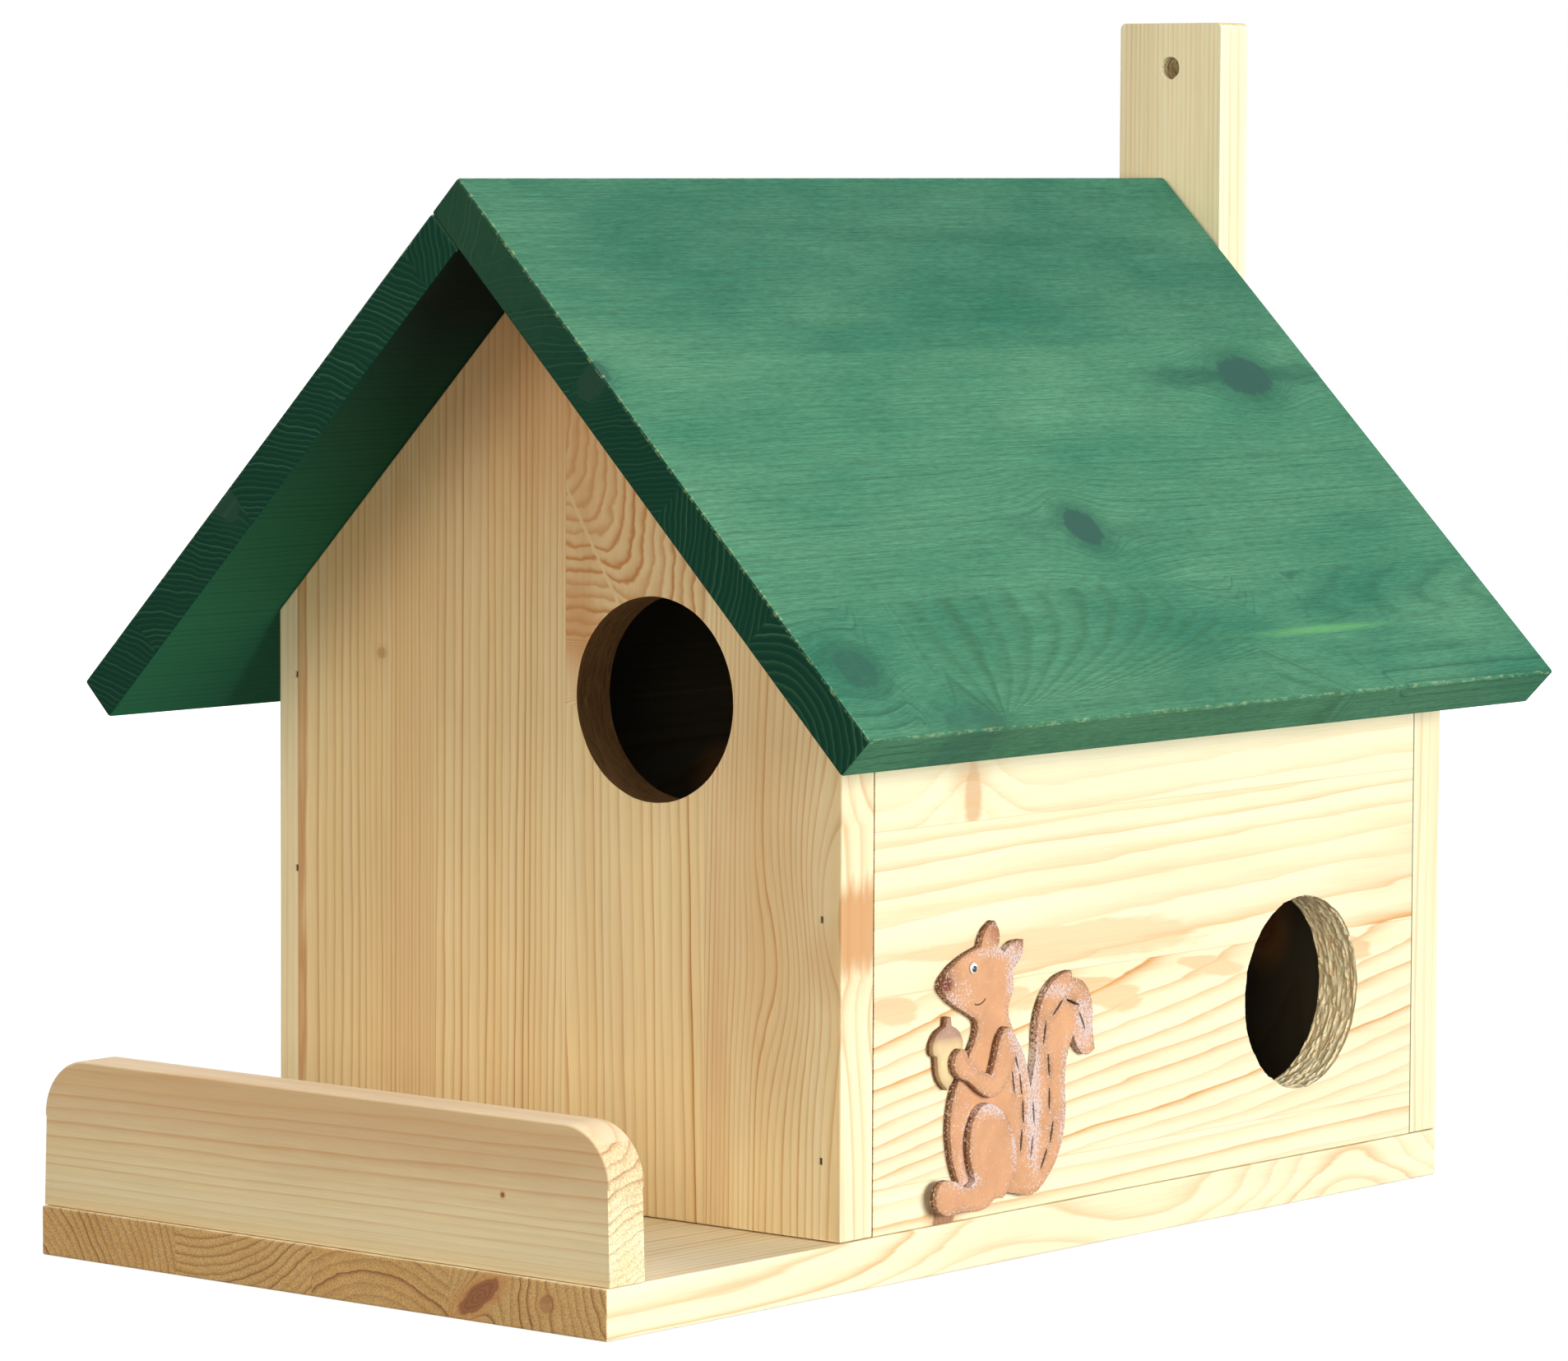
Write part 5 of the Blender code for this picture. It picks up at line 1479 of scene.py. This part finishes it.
class SQUIRRELHOUSE_OT_stage(bpy.types.Operator):
    """Set up the pale floor, the soft boxes and the camera"""

    bl_idname = "squirrelhouse.stage"
    bl_label = "Stage"

    def execute(self, context):
        settings = settings_of("stage")
        self.floor(settings.ground)
        self.world(settings.world)
        light("key_softbox", Vector((2.5, -0.10, 0.48)), (1.8, 0.8), settings.key, "#F7FDFF")
        light("fill_softbox", Vector((-0.9, -2.8, 1.7)), (2.2, 1.6), settings.fill, "#FFF2D7")
        light("front_softbox", Vector((1.5, -2.4, 0.5)), (0.8, 0.8), settings.front, "#FFF6DF")
        light("top_softbox", Vector((0.3, 0.2, 3.0)), (2.0, 2.0), settings.top, "#E2EBFF")
        self.camera(settings.lens)
        context.scene.view_settings.view_transform = "Standard"
        return {"FINISHED"}

    def floor(self, colour):
        """A wide white floor that keeps half of the shadow and fades into the backdrop."""
        bpy.ops.mesh.primitive_grid_add(
            x_subdivisions=8, y_subdivisions=8, size=16, location=(0, 0, -0.2 * MM))
        piece = bpy.context.object
        piece.name = "studio_floor"
        material, tree, shader = new_material("matt_white_floor")
        connect(tree, shader, {"Base Color": colour, "Roughness": 0.9, "Specular IOR Level": 0.1})
        glow = add(tree, GLOW, Color=linear(WHITE), Strength=1.75)
        reach = add(tree, LENGTH, add(tree, COORDINATES).outputs["Object"])
        fade = add(tree, SOFT_RANGE, reach, 0.45, 1.2, 0.55, 1.0)
        share = add(tree, TIMES, seen_directly(tree), fade)
        both = add(tree, MIX_SHADERS, share, shader, glow)
        connect(tree, tree.nodes["Material Output"], {"Surface": both})
        piece.data.materials.append(material)

    def world(self, level):
        """Even room light, with a white backdrop behind the house."""
        world = bpy.data.worlds.new("white_room")
        world.use_nodes = True
        tree = world.node_tree
        strength = add(tree, RANGE, seen_directly(tree), 0.0, 1.0, level, 1.0)
        connect(tree, tree.nodes["Background"], {"Color": linear(WHITE), "Strength": strength})
        bpy.context.scene.world = world

    def camera(self, lens):
        yaw, pitch, roll = CAMERA_YAW, CAMERA_PITCH, CAMERA_ROLL
        ahead = Vector((-math.sin(yaw) * math.cos(pitch), math.cos(yaw) * math.cos(pitch),
                        -math.sin(pitch)))
        right = Vector((math.cos(yaw), math.sin(yaw), 0))
        above = right.cross(ahead)
        tilted_right = right * math.cos(roll) + above * math.sin(roll)
        tilted_up = above * math.cos(roll) - right * math.sin(roll)
        turn = Matrix((tilted_right, tilted_up, -ahead)).transposed().to_4x4()
        made = bpy.data.cameras.new("product_camera")
        made.lens = lens
        made.sensor_width = 36
        made.clip_end = 50
        piece = bpy.data.objects.new("product_camera", made)
        piece.matrix_world = Matrix.Translation(CAMERA_PLACE) @ turn
        bpy.context.scene.collection.objects.link(piece)
        bpy.context.scene.camera = piece


SETTINGS = {
    "squirrelhouse_wood": SQUIRRELHOUSE_wood, "squirrelhouse_stain": SQUIRRELHOUSE_stain,
    "squirrelhouse_ornament": SQUIRRELHOUSE_ornament, "squirrelhouse_metal": SQUIRRELHOUSE_metal,
    "squirrelhouse_stage": SQUIRRELHOUSE_stage,
}
OPERATORS = (
    SQUIRRELHOUSE_OT_walls, SQUIRRELHOUSE_OT_floor, SQUIRRELHOUSE_OT_roof, SQUIRRELHOUSE_OT_batten,
    SQUIRRELHOUSE_OT_ornament, SQUIRRELHOUSE_OT_fittings, SQUIRRELHOUSE_OT_stage,
)


class SQUIRRELHOUSE_PT_panel(bpy.types.Panel):
    """Lists the pieces of the squirrel house"""

    bl_label = "Squirrel house"
    bl_idname = "SQUIRRELHOUSE_PT_panel"
    bl_space_type = "VIEW_3D"
    bl_region_type = "UI"
    bl_category = "Squirrel house"

    def draw(self, context):
        for operator in OPERATORS:
            self.layout.operator(operator.bl_idname)
        for name, kind in SETTINGS.items():
            box = self.layout.box()
            for setting in kind.__annotations__:
                box.prop(getattr(context.scene, name), setting)


CLASSES = (*SETTINGS.values(), *OPERATORS, SQUIRRELHOUSE_PT_panel)


def register():
    for made in CLASSES:
        bpy.utils.register_class(made)
    for name, group in SETTINGS.items():
        setattr(bpy.types.Scene, name, PointerProperty(type=group))


def unregister():
    for name in SETTINGS:
        delattr(bpy.types.Scene, name)
    for made in reversed(CLASSES):
        bpy.utils.unregister_class(made)


def main():
    register()
    bpy.ops.squirrelhouse.walls()
    bpy.ops.squirrelhouse.floor()
    bpy.ops.squirrelhouse.roof()
    bpy.ops.squirrelhouse.batten()
    bpy.ops.squirrelhouse.ornament()
    bpy.ops.squirrelhouse.fittings()
    bpy.ops.squirrelhouse.stage()


if __name__ == "__main__":
    main()
